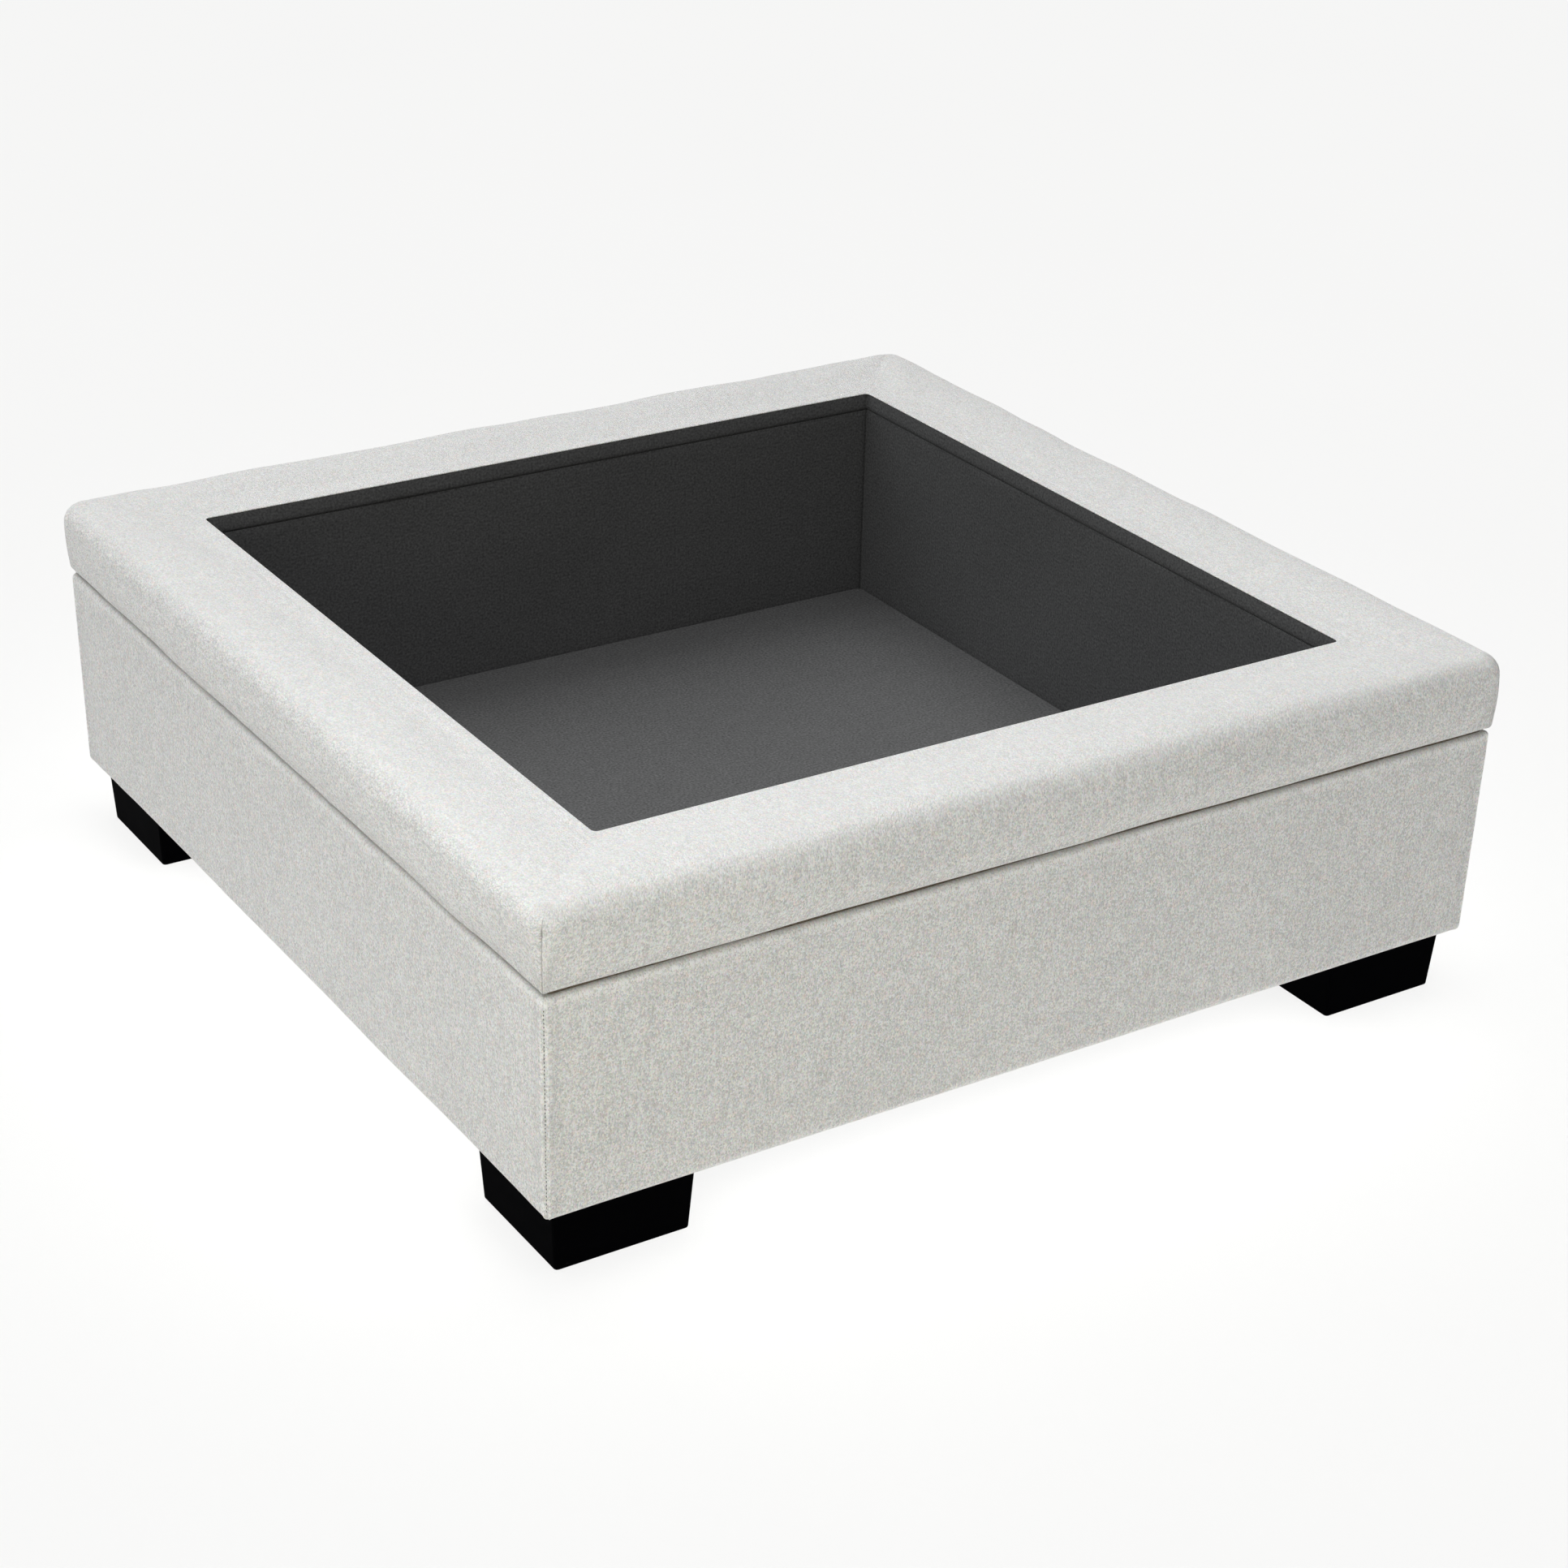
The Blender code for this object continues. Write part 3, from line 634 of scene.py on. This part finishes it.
def add_cloth_physics(obj):
    """Stuffed cloth, held at the vertex group named held and blown out from inside."""
    cloth = obj.modifiers.new("cloth", "CLOTH")
    settings = cloth.settings
    settings.quality = 6
    settings.mass = 0.3
    settings.tension_stiffness = 18.0
    settings.compression_stiffness = 18.0
    settings.shear_stiffness = 8.0
    settings.bending_stiffness = 4.0
    settings.use_pressure = True
    settings.uniform_pressure_force = PRESSURE
    settings.vertex_group_mass = "held"
    settings.effector_weights.gravity = 0.0
    cloth.collision_settings.use_collision = False


def swell(points, columns, held, side_rows):
    """How far a cloth simulation under pressure moves each point of the rim's coarse net."""
    rows, count = points.shape[:2]
    faces = reversed_faces(grid_faces(rows, count, True))
    obj = mesh_object("rim_net", points.reshape(-1, 3), faces, outer_material)
    at_dart = np.abs(columns.angle - QUARTER / 2) < 0.01
    pinned = held[:, None] | (side_rows[:, None] & at_dart[None, :])
    group = obj.vertex_groups.new(name="held")
    group.add(np.flatnonzero(pinned.ravel()).tolist(), 1.0, "REPLACE")
    add_cloth_physics(obj)
    scene = bpy.context.scene
    for number in range(1, SWELL_FRAMES + 1):
        scene.frame_set(number)
    graph = bpy.context.evaluated_depsgraph_get()
    mesh = obj.evaluated_get(graph).to_mesh()
    moved = np.empty(rows * count * 3, np.float32)
    mesh.vertices.foreach_get("co", moved)
    obj.evaluated_get(graph).to_mesh_clear()
    bpy.data.objects.remove(obj)
    scene.frame_set(1)
    offset = moved.reshape(rows, count, 3) - points
    length = np.linalg.norm(offset, axis=2, keepdims=True)
    return offset * np.minimum(1.0, MAX_SWELL / np.maximum(length, 1e-9))


def along_loop(columns):
    """Each column's place round the loop, from 0 to 4, in step with any other Round."""
    straight = (columns.share + 1) / 2 * (1 - NET_CORNER_SHARE)
    corner = 1 - NET_CORNER_SHARE + columns.angle / QUARTER * NET_CORNER_SHARE
    return columns.side + np.where(columns.share < 1, straight, corner)


def resample(offset, profile, columns, fine_profile, fine_columns):
    """A coarse net's offsets read at the places of a finer net."""
    rows = path_length(profile) / path_length(profile)[-1]
    fine_rows = path_length(fine_profile) / path_length(fine_profile)[-1]
    turns, fine_turns = along_loop(columns), along_loop(fine_columns)
    made = np.empty((len(fine_rows), fine_columns.count, 3))
    for axis in range(3):
        by_row = np.array([np.interp(fine_turns, turns, row, period=4.0) for row in offset[:, :, axis]])
        made[:, :, axis] = np.array([np.interp(fine_rows, rows, column) for column in by_row.T]).T
    return made


def rim_swell(profile, columns):
    """The stuffing's swell, found on a coarse net of the rim and carried over to the fine one."""
    net_profile = rim_profile(1)
    net_side = np.arange(1, NET_SIDE_COLUMNS + 1) / (NET_SIDE_COLUMNS + 1)
    net_columns = Round(net_side, np.linspace(0, 1, NET_CORNER_COLUMNS))
    net_half, net_z = net_profile[:, 0], net_profile[:, 1]
    on_side = (net_z < TOP_Z - RIM_TOP_R + 0.004) & (net_half > NET_SIDE_FROM_HALF)
    offset = swell(rim_points(net_profile, net_columns), net_columns, held_rows(net_profile), on_side)
    offset = resample(offset, net_profile, net_columns, profile, columns)
    # Near a tacked edge the filling thins out, and the lower edge stays level.
    half, z = profile[:, 0], profile[:, 1]
    start, reach = SWELL_EASE_IN
    ease_low = np.clip((z - z.min()) / SWELL_EASE_LOW, 0, 1) ** 2
    ease_in = np.clip((half - WELL_HALF - start) / reach, 0, 1)
    return offset * (ease_low * ease_in)[:, None, None]


def rim_unevenness(profile, columns):
    """Slight waves of the stuffing under the cloth: outward on the sides and upward on the top."""
    half, z = profile[:, 0], profile[:, 1]
    on_side = 1 / (1 + np.exp((z - (TOP_Z - 0.013)) / 0.003)) * (half > SIDE_FROM_HALF)
    loose = np.where(held_rows(profile), 0.0, 1.0)
    middle = 1 - np.minimum(1, np.abs(columns.share)) ** 2
    run = columns.run_round(RIM_HALF, RIM_CORNER_R)
    path = path_length(profile)[:, None]
    calm = 1 - RIM_CALM * bell(from_seam(columns, RIM_HALF, RIM_CORNER_R), RIM_CALM_WIDTH)
    push = loose[:, None] * uneven(RIM_WAVES, run, path) * calm
    push = push + RIM_BULGE * (on_side * loose)[:, None] * middle
    return push * on_side[:, None], push * (1 - on_side[:, None])


def shape_dart(points, profile, columns):
    """The dart at each corner: two folds drawn together, closed by a small pucker at its top."""
    half, z = profile[:, 0], profile[:, 1]
    beside = np.abs(from_seam(columns, RIM_HALF, RIM_CORNER_R))[None, :]
    outer = half > RIM_HALF - DART_REACH
    inside = (outer / (1 + np.exp((z - DART_TOP_Z) / 0.0012)))[:, None]
    near_top = (bell(z - DART_TOP_Z, PUCKER_TALL) * outer)[:, None]
    pucker = PUCKER_DEPTH * bell(beside, PUCKER_WIDTH) * near_top
    points = columns.pushed(points, inside * folds(DART_FOLDS, beside) - pucker)
    # Painted shade in the dart's groove and pucker, and painted highlight on the ridges beside it.
    painted_light = inside * folds(DART_PAINTED_LIGHT, beside) + PUCKER_PAINTED_SHADE * bell(beside, 0.0011) * near_top
    low = bell(np.maximum(z - PARTING_Z - 0.002, 0), 0.012)
    hang = np.clip((half - (RIM_HALF - 0.016)) / 0.010, 0, 1) * low
    points[:, :, 2] -= DART_HANG * hang[:, None] * bell(beside, HANG_WIDTH)
    return points, painted_light


def rim_cloth(points, profile, columns):
    """Weave places: lying flat over the top, and wrapped down the outer side."""
    half, z = profile[:, 0], profile[:, 1]
    path = path_length(profile)
    out = path - path[int(np.argmax(z > TOP_Z))] + WELL_HALF
    along, panel = columns.run(RIM_HALF, RIM_CORNER_R)
    wrapped = (along[:, None] * ALONG[panel])[None] + out[:, None, None] * OUTWARD[panel][None]
    flat = points[:, :, :2]
    over_roll = np.clip((half - (RIM_HALF - RIM_TOP_R)) / 0.012, 0, 1)
    blend = np.where(z < TOP_Z - 0.010, 1.0, over_roll) * (half > 0.5)
    blend = blend[:, None, None]
    return np.concatenate([(1 - blend) * flat + blend * wrapped, np.zeros(flat.shape[:2] + (1,))], axis=2)


def build_rim():
    profile = rim_profile(2)
    columns = Round(side_steps(SIDE_COLUMNS), corner_steps())
    points = rim_points(profile, columns)
    points = points + rim_swell(profile, columns)
    outward, upward = rim_unevenness(profile, columns)
    points = columns.pushed(points, outward)
    points[:, :, 2] += upward
    points, painted_light = shape_dart(points, profile, columns)
    half, z = profile[:, 0], profile[:, 1]
    # Painted shade along the rim's foot, just above the parting line.
    painted_light = painted_light + FOOT_PAINTED_SHADE * (bell(z - (PARTING_Z + 0.003), 0.009) * (half > SIDE_FROM_HALF))[:, None]
    cloth = rim_cloth(points, profile, columns)
    rim = band_object("rim_upholstery", points, outer_material, cloth, close_rows=True)
    set_painted_light(rim, painted_light)
    smooth(rim, 1)
    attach(rim, MAIN_BODY)
    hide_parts("rim_cover", *(f"rim_foam_{side}" for side in SIDES))


# ---- base
# The base is a box under one sewn sleeve, with a stitched seam at each corner.

BASE_CORNER_R = 0.0075
BASE_BOTTOM_R = 0.011
BASE_TOP_R = 0.006
BASE_LEAN = 0.0032             # how much further out the sleeve's top stands than its foot
BASE_TOP = BASE_HIGH[2] - 0.0012
BASE_SAG = 0.0012              # the lower edge hangs this much at the corners and lifts as much between
BASE_BULGE = 0.0010
BASE_WAVES = ((21, 0.0006, 0.22), (22, 0.0002, 0.06))
BASE_CALM = 0.035              # beside a corner seam the cloth lies tight
BASE_FOLDS = ((-0.0006, 0.0, 0.0007), (0.0007, 0.0032, 0.0011), (-0.0006, 0.0120, 0.0060))
# Painted shade in the corner seam's groove and the trough beside it, and painted highlight on the ridge
# between, as shares of the cloth's tone.
BASE_SEAM_PAINTED_LIGHT = ((-0.35, 0.0, 0.0005), (0.9, 0.0032, 0.0009), (-0.35, 0.0110, 0.0050))
# Painted highlight along the sleeve's top roll, below the rim.
BASE_TOP_PAINTED_HIGHLIGHT = 0.9
SEAM_WANDER = ((23, 0.0003, 0.05), )
STITCH_PITCH = 0.0040
STITCH_SHARE = 0.45            # of the pitch that shows as thread
STITCH_START = 0.012           # above the sleeve's foot
STITCH_MARGIN = 0.020
STITCH_SINK = 0.0008
THREAD_R = 0.00065


def base_profile():
    low = BASE_LOW[2]
    profile = [(half, BASE_TOP) for half in (0.520, 0.526, 0.533)]
    profile += arc((BASE_HALF - BASE_TOP_R, BASE_TOP - BASE_TOP_R), BASE_TOP_R, 90, 0, 6)
    profile += [(BASE_HALF, z) for z in np.linspace(BASE_TOP - BASE_TOP_R, low + BASE_BOTTOM_R, 30)[1:-1]]
    profile += arc((BASE_HALF - BASE_BOTTOM_R, low + BASE_BOTTOM_R), BASE_BOTTOM_R, 0, -90, 8)
    profile += [(half, low) for half in (0.530, 0.520, 0.510, 0.500)]
    return np.array(profile)


def build_base():
    profile = base_profile()
    half, z = profile[:, 0], profile[:, 1]
    columns = Round(side_steps(SIDE_COLUMNS), corner_steps())
    share = (z - BASE_LOW[2]) / (BASE_TOP - BASE_LOW[2])
    radius = np.maximum(half - (BASE_HALF - BASE_CORNER_R), 0.002)
    points = columns.points(half + BASE_LEAN * share, radius, z)

    run = columns.run_round(BASE_HALF, BASE_CORNER_R)
    path = path_length(profile)
    seam = from_seam(columns, BASE_HALF, BASE_CORNER_R)[None, :]
    away = 1 - bell(seam, BASE_CALM)
    face = np.clip((half - (BASE_HALF - 0.006)) / 0.006, 0, 1)[:, None]
    bulge = BASE_BULGE * np.sin(math.pi * share)[:, None]
    push = face * away * (uneven(BASE_WAVES, run, path[:, None]) + bulge)
    beside = np.abs(seam - uneven(SEAM_WANDER, z, np.zeros_like(z))[:, None])
    push = push + np.clip((half - 0.520) / 0.020, 0, 1)[:, None] * folds(BASE_FOLDS, beside)
    points = columns.pushed(points, push)
    # Painted light and shade: darker in the seam's groove and trough, lighter on its ridge and along the
    # top roll.
    painted_light = folds(BASE_SEAM_PAINTED_LIGHT, beside) + BASE_TOP_PAINTED_HIGHLIGHT * bell(z - (BASE_TOP - 0.005), 0.006)[:, None]

    near_foot = np.clip(1 - share / 0.25, 0, 1)[:, None]
    points[:, :, 2] += near_foot * BASE_SAG * (2 * away - 1) * face
    cloth = panel_cloth(columns, BASE_HALF, BASE_CORNER_R, path, points.shape)
    base = band_object("base_upholstery", points, outer_material, cloth)
    set_painted_light(base, painted_light)
    smooth(base, 1)
    thicken(base, CLOTH_T, -1.0)
    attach(base, MAIN_BODY)
    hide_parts("base_cover")
    stitching = build_corner_stitches()


def thread_piece(name, runs, radius, material, sides=6):
    """One mesh of many short rounded thread ends, each from its first point to its last."""
    points, faces = [], []
    rings = ((-0.5, 0.35), (-0.38, 0.85), (0.0, 1.0), (0.38, 0.85), (0.5, 0.35))
    for start, end in runs:
        start, end = Vector(start), Vector(end)
        axis = end - start
        side = axis.orthogonal().normalized()
        other = axis.normalized().cross(side)
        base = len(points)
        for share, width in rings:
            center = start + axis * (share + 0.5)
            for number in range(sides):
                angle = 2 * math.pi * number / sides
                points.append(center + radius * width * (math.cos(angle) * side + math.sin(angle) * other))
        for ring in range(len(rings) - 1):
            for number in range(sides):
                a, b = base + ring * sides + number, base + ring * sides + (number + 1) % sides
                faces.append((a, b, b + sides, a + sides))
        faces.append(tuple(base + number for number in reversed(range(sides))))
        last = base + (len(rings) - 1) * sides
        faces.append(tuple(last + number for number in range(sides)))
    return mesh_object(name, points, faces, material)


def build_corner_stitches():
    """The thread that shows in the seam at each corner of the base."""
    runs = []
    at_foot = BASE_HALF - BASE_CORNER_R + (BASE_CORNER_R - STITCH_SINK) / math.sqrt(2)
    tall = BASE_HIGH[2] - BASE_LOW[2]
    count = int((tall - STITCH_MARGIN) / STITCH_PITCH)
    for right, back in ((-1, -1), (1, -1), (1, 1), (-1, 1)):
        for number in range(count):
            z = BASE_LOW[2] + STITCH_START + number * STITCH_PITCH
            distance = at_foot + BASE_LEAN * (z - BASE_LOW[2]) / tall
            x, y = right * distance, back * distance
            runs.append(((x, y, z), (x, y, z + STITCH_SHARE * STITCH_PITCH)))
    stitching = thread_piece("corner_stitching", runs, THREAD_R, slate_thread)
    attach(stitching, MAIN_BODY)
    return stitching


# ---- parting line

# The strip below is painted shadow of the gap between the rim and the base.
GAP_SHADOW_LOW, GAP_SHADOW_HIGH = PARTING_Z - 0.0060, PARTING_Z + 0.0010
GAP_SHADOW_OUTER = BASE_HALF - 0.0030
GAP_SHADOW_CORNER_R = 0.008
GAP_SHADOW_EDGE = 0.0004
GAP_SHADOW_T = 0.0008
GAP_SHADOW_WAVES = ((61, 0.00035, 0.05), )


def build_parting_gap_shadow():
    """A thin dark brown strip on the base's top edge, under where the rim sits: painted shadow of the gap
    there; it shows as a thin line.
    """
    inner = [(GAP_SHADOW_OUTER - reach, GAP_SHADOW_HIGH) for reach in (0.024, 0.008, GAP_SHADOW_EDGE)]
    turned = [(GAP_SHADOW_OUTER, z) for z in (GAP_SHADOW_HIGH - GAP_SHADOW_EDGE, (GAP_SHADOW_LOW + GAP_SHADOW_HIGH) / 2, GAP_SHADOW_LOW)]
    profile = np.array(inner + turned)
    columns = Round(side_steps(40), np.linspace(0, 1, 7))
    points = columns.points(profile[:, 0], np.full(len(profile), GAP_SHADOW_CORNER_R), profile[:, 1])
    run = columns.run_round(BASE_HALF, GAP_SHADOW_CORNER_R)
    outer = (profile[:, 0] > GAP_SHADOW_OUTER - 0.001)[:, None]
    points = columns.pushed(points, uneven(GAP_SHADOW_WAVES, run, 0 * run) * outer)
    cloth = panel_cloth(columns, BASE_HALF, GAP_SHADOW_CORNER_R, path_length(profile), points.shape)
    gap_shadow_strip = band_object("parting_gap_shadow", points, gap_shadow_material, cloth)
    thicken(gap_shadow_strip, GAP_SHADOW_T, -1.0)
    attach(gap_shadow_strip, MAIN_BODY)


# ---- lining

LINING_CORNER_R = 0.003
LINING_T = 0.0012
LINING_SLACK = 0.0005
LINING_WAVES = ((31, 0.0005, 0.2), )
LINING_CALM = 0.03             # beside a corner seam the cloth lies tight
LINING_GROOVE = 0.0032         # how deep the seam in each corner is drawn in
LINING_GROOVE_WIDTH = 0.0011
LINING_TOP_GAP = 0.0003
LINING_TUCK = 0.0009           # how far back the edges go where the lining and its facing meet
FACING_GROOVE = 0.0026
FACING_BULGE = 0.0015
LINING_CORNER_STEPS = (0.0, 0.15, 0.3, 0.4, 0.46, 0.5, 0.54, 0.6, 0.7, 0.85, 1.0)


def lining_piece(name, profile, radius, push, path, columns):
    """A band of lining cloth round the well; push is how far it goes back from its plain shape."""
    points = columns.points(profile[:, 0], np.full(len(profile), radius), profile[:, 1])
    points = columns.pushed(points, push * np.ones((len(profile), 1)))
    cloth = panel_cloth(columns, WELL_HALF, LINING_CORNER_R, path, points.shape)
    return band_object(name, points, lining_material, cloth)


def build_well_walls(columns, seam):
    """Four wall panels of charcoal cloth, seamed in the corners."""
    low, high = LINING_LOW[2], FACING_LOW[2] - LINING_TOP_GAP
    profile = [(WELL_HALF + 0.0002, z) for z in np.linspace(low, high - 0.0015, 24)]
    profile += [(WELL_HALF + 0.0004, high - 0.0006), (WELL_HALF + LINING_TUCK, high - 0.0001)]
    profile = np.array(profile)
    z = profile[:, 1]
    slack = LINING_SLACK + uneven(LINING_WAVES, columns.run_round(WELL_HALF, LINING_CORNER_R), z[:, None])
    push = (1 - bell(seam, LINING_CALM)) * slack + LINING_GROOVE * bell(seam, LINING_GROOVE_WIDTH)
    walls = lining_piece("well_lining", profile, LINING_CORNER_R, push, z, columns)
    thicken(walls, LINING_T, -1.0)
    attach(walls, MAIN_BODY)
    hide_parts(*(f"lining_{side}" for side in SIDES))


def build_facing(columns, seam):
    """The narrow band sewn along the top of the walls, a little fuller than they are."""
    low, high = FACING_LOW[2], FACING_HIGH[2]
    profile = [(WELL_HALF + LINING_TUCK, low - 0.0001)]
    for share in np.linspace(0, 1, 13):
        bulge = FACING_BULGE * math.sin(math.pi * math.sqrt(share))
        profile.append((WELL_HALF + 0.0004 - bulge, low + 0.0004 + share * (high - low - 0.0006)))
    profile.append((WELL_HALF + 0.0014, high - 0.0001))
    profile = np.array(profile)
    push = FACING_GROOVE * bell(seam, LINING_GROOVE_WIDTH)
    path = path_length(profile) + 0.7
    facing = lining_piece("well_facing", profile, LINING_CORNER_R + 0.002, push, path, columns)
    smooth(facing, 1)
    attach(facing, MAIN_BODY)
    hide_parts("lining_facing")


def build_lining():
    columns = Round(side_steps(60), list(LINING_CORNER_STEPS))
    seam = from_seam(columns, WELL_HALF, LINING_CORNER_R)[None, :]
    build_well_walls(columns, seam)
    build_facing(columns, seam)


# ---- flat cloths and staples

FLAT_SIDE_COLUMNS = 32
FLAT_ROWS = 16
BOARD_EDGE_R = 0.0032
BOARD_CORNER_R = 0.009
BOARD_WRAP_T = 0.0012
BOARD_DROP = 0.0003
BOARD_WAVES = ((41, 0.0003, 0.25), )
BOARD_STAPLE_INSET, BOARD_STAPLE_PITCH = 0.022, 0.045
BOARD_WEAVE = 6.0              # each flat cloth has its own number, so that no two weaves line up
DUST_WEAVE = 7.0
DUST_CORNER_R = 0.004
DUST_EDGE_R = 0.0004
DUST_TURNING = 0.015
DUST_HELD_HALF = 0.375         # the dust cloth hangs free inside this half width
DUST_SAG = 0.0025
DUST_WAVES = ((51, 0.25, 0.3), )
DUST_STAPLE_INSET, DUST_STAPLE_REACH, DUST_STAPLE_PITCH = 0.009, 0.36, 0.055
STAPLE_LENGTH, STAPLE_WIDTH, STAPLE_DEPTH = 0.0100, 0.0012, 0.0005
STAPLE_TRIM = 0.0002
BOX_QUADS = ((0, 1, 2, 3), (7, 6, 5, 4), (0, 4, 5, 1), (1, 5, 6, 2), (2, 6, 7, 3), (3, 7, 4, 0))


def shrinking(start, z, end=0.012):
    """Rows from half width start in to the middle of a square face."""
    return [(half, z) for half in np.geomspace(start, end, FLAT_ROWS)]


def close_middle(faces, rows, columns):
    last = (rows - 1) * columns
    return faces + [tuple(last + number for number in range(columns))]


def flat_cloth(name, points, weave, material):
    """A cloth whose rows run in from its edge to the middle of a face, with its weave in X and Y."""
    rows, count = points.shape[:2]
    cloth = points.copy()
    cloth[:, :, 2] = weave
    faces = close_middle(grid_faces(rows, count, False), rows, count)
    return mesh_object(name, points.reshape(-1, 3), faces, material, cloth.reshape(-1, 3))


def build_floor_board():
    half, low, high = BOARD_HIGH[0], BOARD_LOW[2], BOARD_HIGH[2]
    inside = half - BOARD_EDGE_R
    profile = [(half - reach, low) for reach in (0.040, 0.030, 0.015)]
    profile += arc((inside, low + BOARD_EDGE_R), BOARD_EDGE_R, -90, 0, 4)
    profile += arc((inside, high - BOARD_EDGE_R), BOARD_EDGE_R, 0, 90, 5)
    first_top_row = len(profile)
    profile += [(half - reach, high) for reach in (0.008, 0.014, 0.022)]
    profile += shrinking(half - 0.035, high)
    profile = np.array(profile)
    columns = Round(side_steps(FLAT_SIDE_COLUMNS), [0.0, 0.17, 0.33, 0.5, 0.67, 0.83, 1.0])
    points = columns.points(profile[:, 0], np.minimum(BOARD_CORNER_R, 0.4 * profile[:, 0]), profile[:, 1])
    # The cloth is tight over the edge, and a little uneven from there in.
    top = points[first_top_row + 1:]
    top[:, :, 2] += uneven(BOARD_WAVES, top[:, :, 0], top[:, :, 1]) - BOARD_DROP
    wrap = flat_cloth("board_wrap", points, BOARD_WEAVE, lining_material)
    thicken(wrap, BOARD_WRAP_T, -1.0)
    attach(wrap, BOARD_BODY)
    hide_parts("floor_board_wrap")
    row = half - BOARD_STAPLE_INSET
    staples = build_staples("board_staples", row, low - 0.0001, half - 0.05, BOARD_STAPLE_PITCH)
    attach(staples, BOARD_BODY)


def build_dust_cover():
    half, low, high = DUST_HIGH[0], DUST_LOW[2], DUST_HIGH[2]
    profile = [(half - reach, high - 0.0002) for reach in (DUST_TURNING, 0.006)]
    profile += arc((half - DUST_EDGE_R, (low + high) / 2), DUST_EDGE_R, 90, -90, 4)
    profile += [(half - 0.006, low), (half - 0.014, low + 0.0002), (half - 0.02, low)]
    profile += shrinking(half - 0.04, low)
    profile = np.array(profile)
    columns = Round(side_steps(FLAT_SIDE_COLUMNS), [0.0, 0.25, 0.5, 0.75, 1.0])
    points = columns.points(profile[:, 0], np.minimum(DUST_CORNER_R, 0.4 * profile[:, 0]), profile[:, 1])
    x, y = (np.clip(points[:, :, axis] / DUST_HELD_HALF, -1, 1) for axis in (0, 1))
    slack = (1 - x ** 2) * (1 - y ** 2)
    points[:, :, 2] -= DUST_SAG * slack * (1 + uneven(DUST_WAVES, points[:, :, 0], points[:, :, 1]))
    cover = flat_cloth("dust_cloth", points, DUST_WEAVE, dust_material)
    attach(cover, MAIN_BODY)
    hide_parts("dust_cover")
    row = half - DUST_STAPLE_INSET
    staples = build_staples("dust_cloth_staples", row, low, DUST_STAPLE_REACH, DUST_STAPLE_PITCH)
    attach(staples, MAIN_BODY)


def build_staples(name, half, z, reach, pitch):
    """Upholstery staples in a row along each side, flat against a face that looks down."""
    points, faces = [], []
    count = int(2 * reach / pitch)
    for side in range(4):
        for number in range(count + 1):
            center = OUTWARD[side] * half + ALONG[side] * (-reach + 2 * reach * number / count)
            base = len(points)
            for depth, trim in ((0.0, 0.0), (STAPLE_DEPTH, STAPLE_TRIM)):
                along = ALONG[side] * (STAPLE_LENGTH / 2 - trim)
                across = OUTWARD[side] * (STAPLE_WIDTH / 2 - trim)
                for a, b in ((-1, -1), (1, -1), (1, 1), (-1, 1)):
                    x, y = center + a * along + b * across
                    points.append((x, y, z - depth))
            faces += [tuple(base + index for index in quad) for quad in BOX_QUADS]
    staples = mesh_object(name, points, faces, steel_material, smooth=False)
    return staples


# ---- carried-over frame


def dress_frame():
    """Sets the looks of the kept nodes; each one's name starts with the name of what it is."""
    plies = plywood()
    wood = timber()
    lacquer = black_lacquer()
    looks = {
        "foot_bolt": steel_material, "t_nut": steel_material, "rim_bolt": steel_material, "foot": lacquer,
        "frame_panel": plies, "well_wall": plies, "floor_board": plies,
        "bottom_rail": wood, "board_rest": wood, "top_rail": wood, "rim_rail": wood, "centre_rail": wood,
    }
    for name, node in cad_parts.items():
        for start, material in looks.items():
            if name.startswith(start):
                for slot in node.material_slots:
                    slot.material = material
                break


outer_material = outer_cloth()
lining_material = dark_cloth("lining_cloth", (0.104, 0.104, 0.104))
dust_material = dark_cloth("dust_cloth", (0.014, 0.014, 0.015), 700.0)
steel_material = zinc_steel()
slate_thread = thread("slate_thread", (0.055, 0.065, 0.062))
# Dark brown cloth for the painted shadow in the gap between the rim and the base.
gap_shadow_material = dark_cloth("parting_gap_shadow", (0.17, 0.138, 0.106), 900.0)

add_camera()
add_studio()
dress_frame()
build_rim()
build_base()
build_parting_gap_shadow()
build_lining()
build_floor_board()
build_dust_cover()
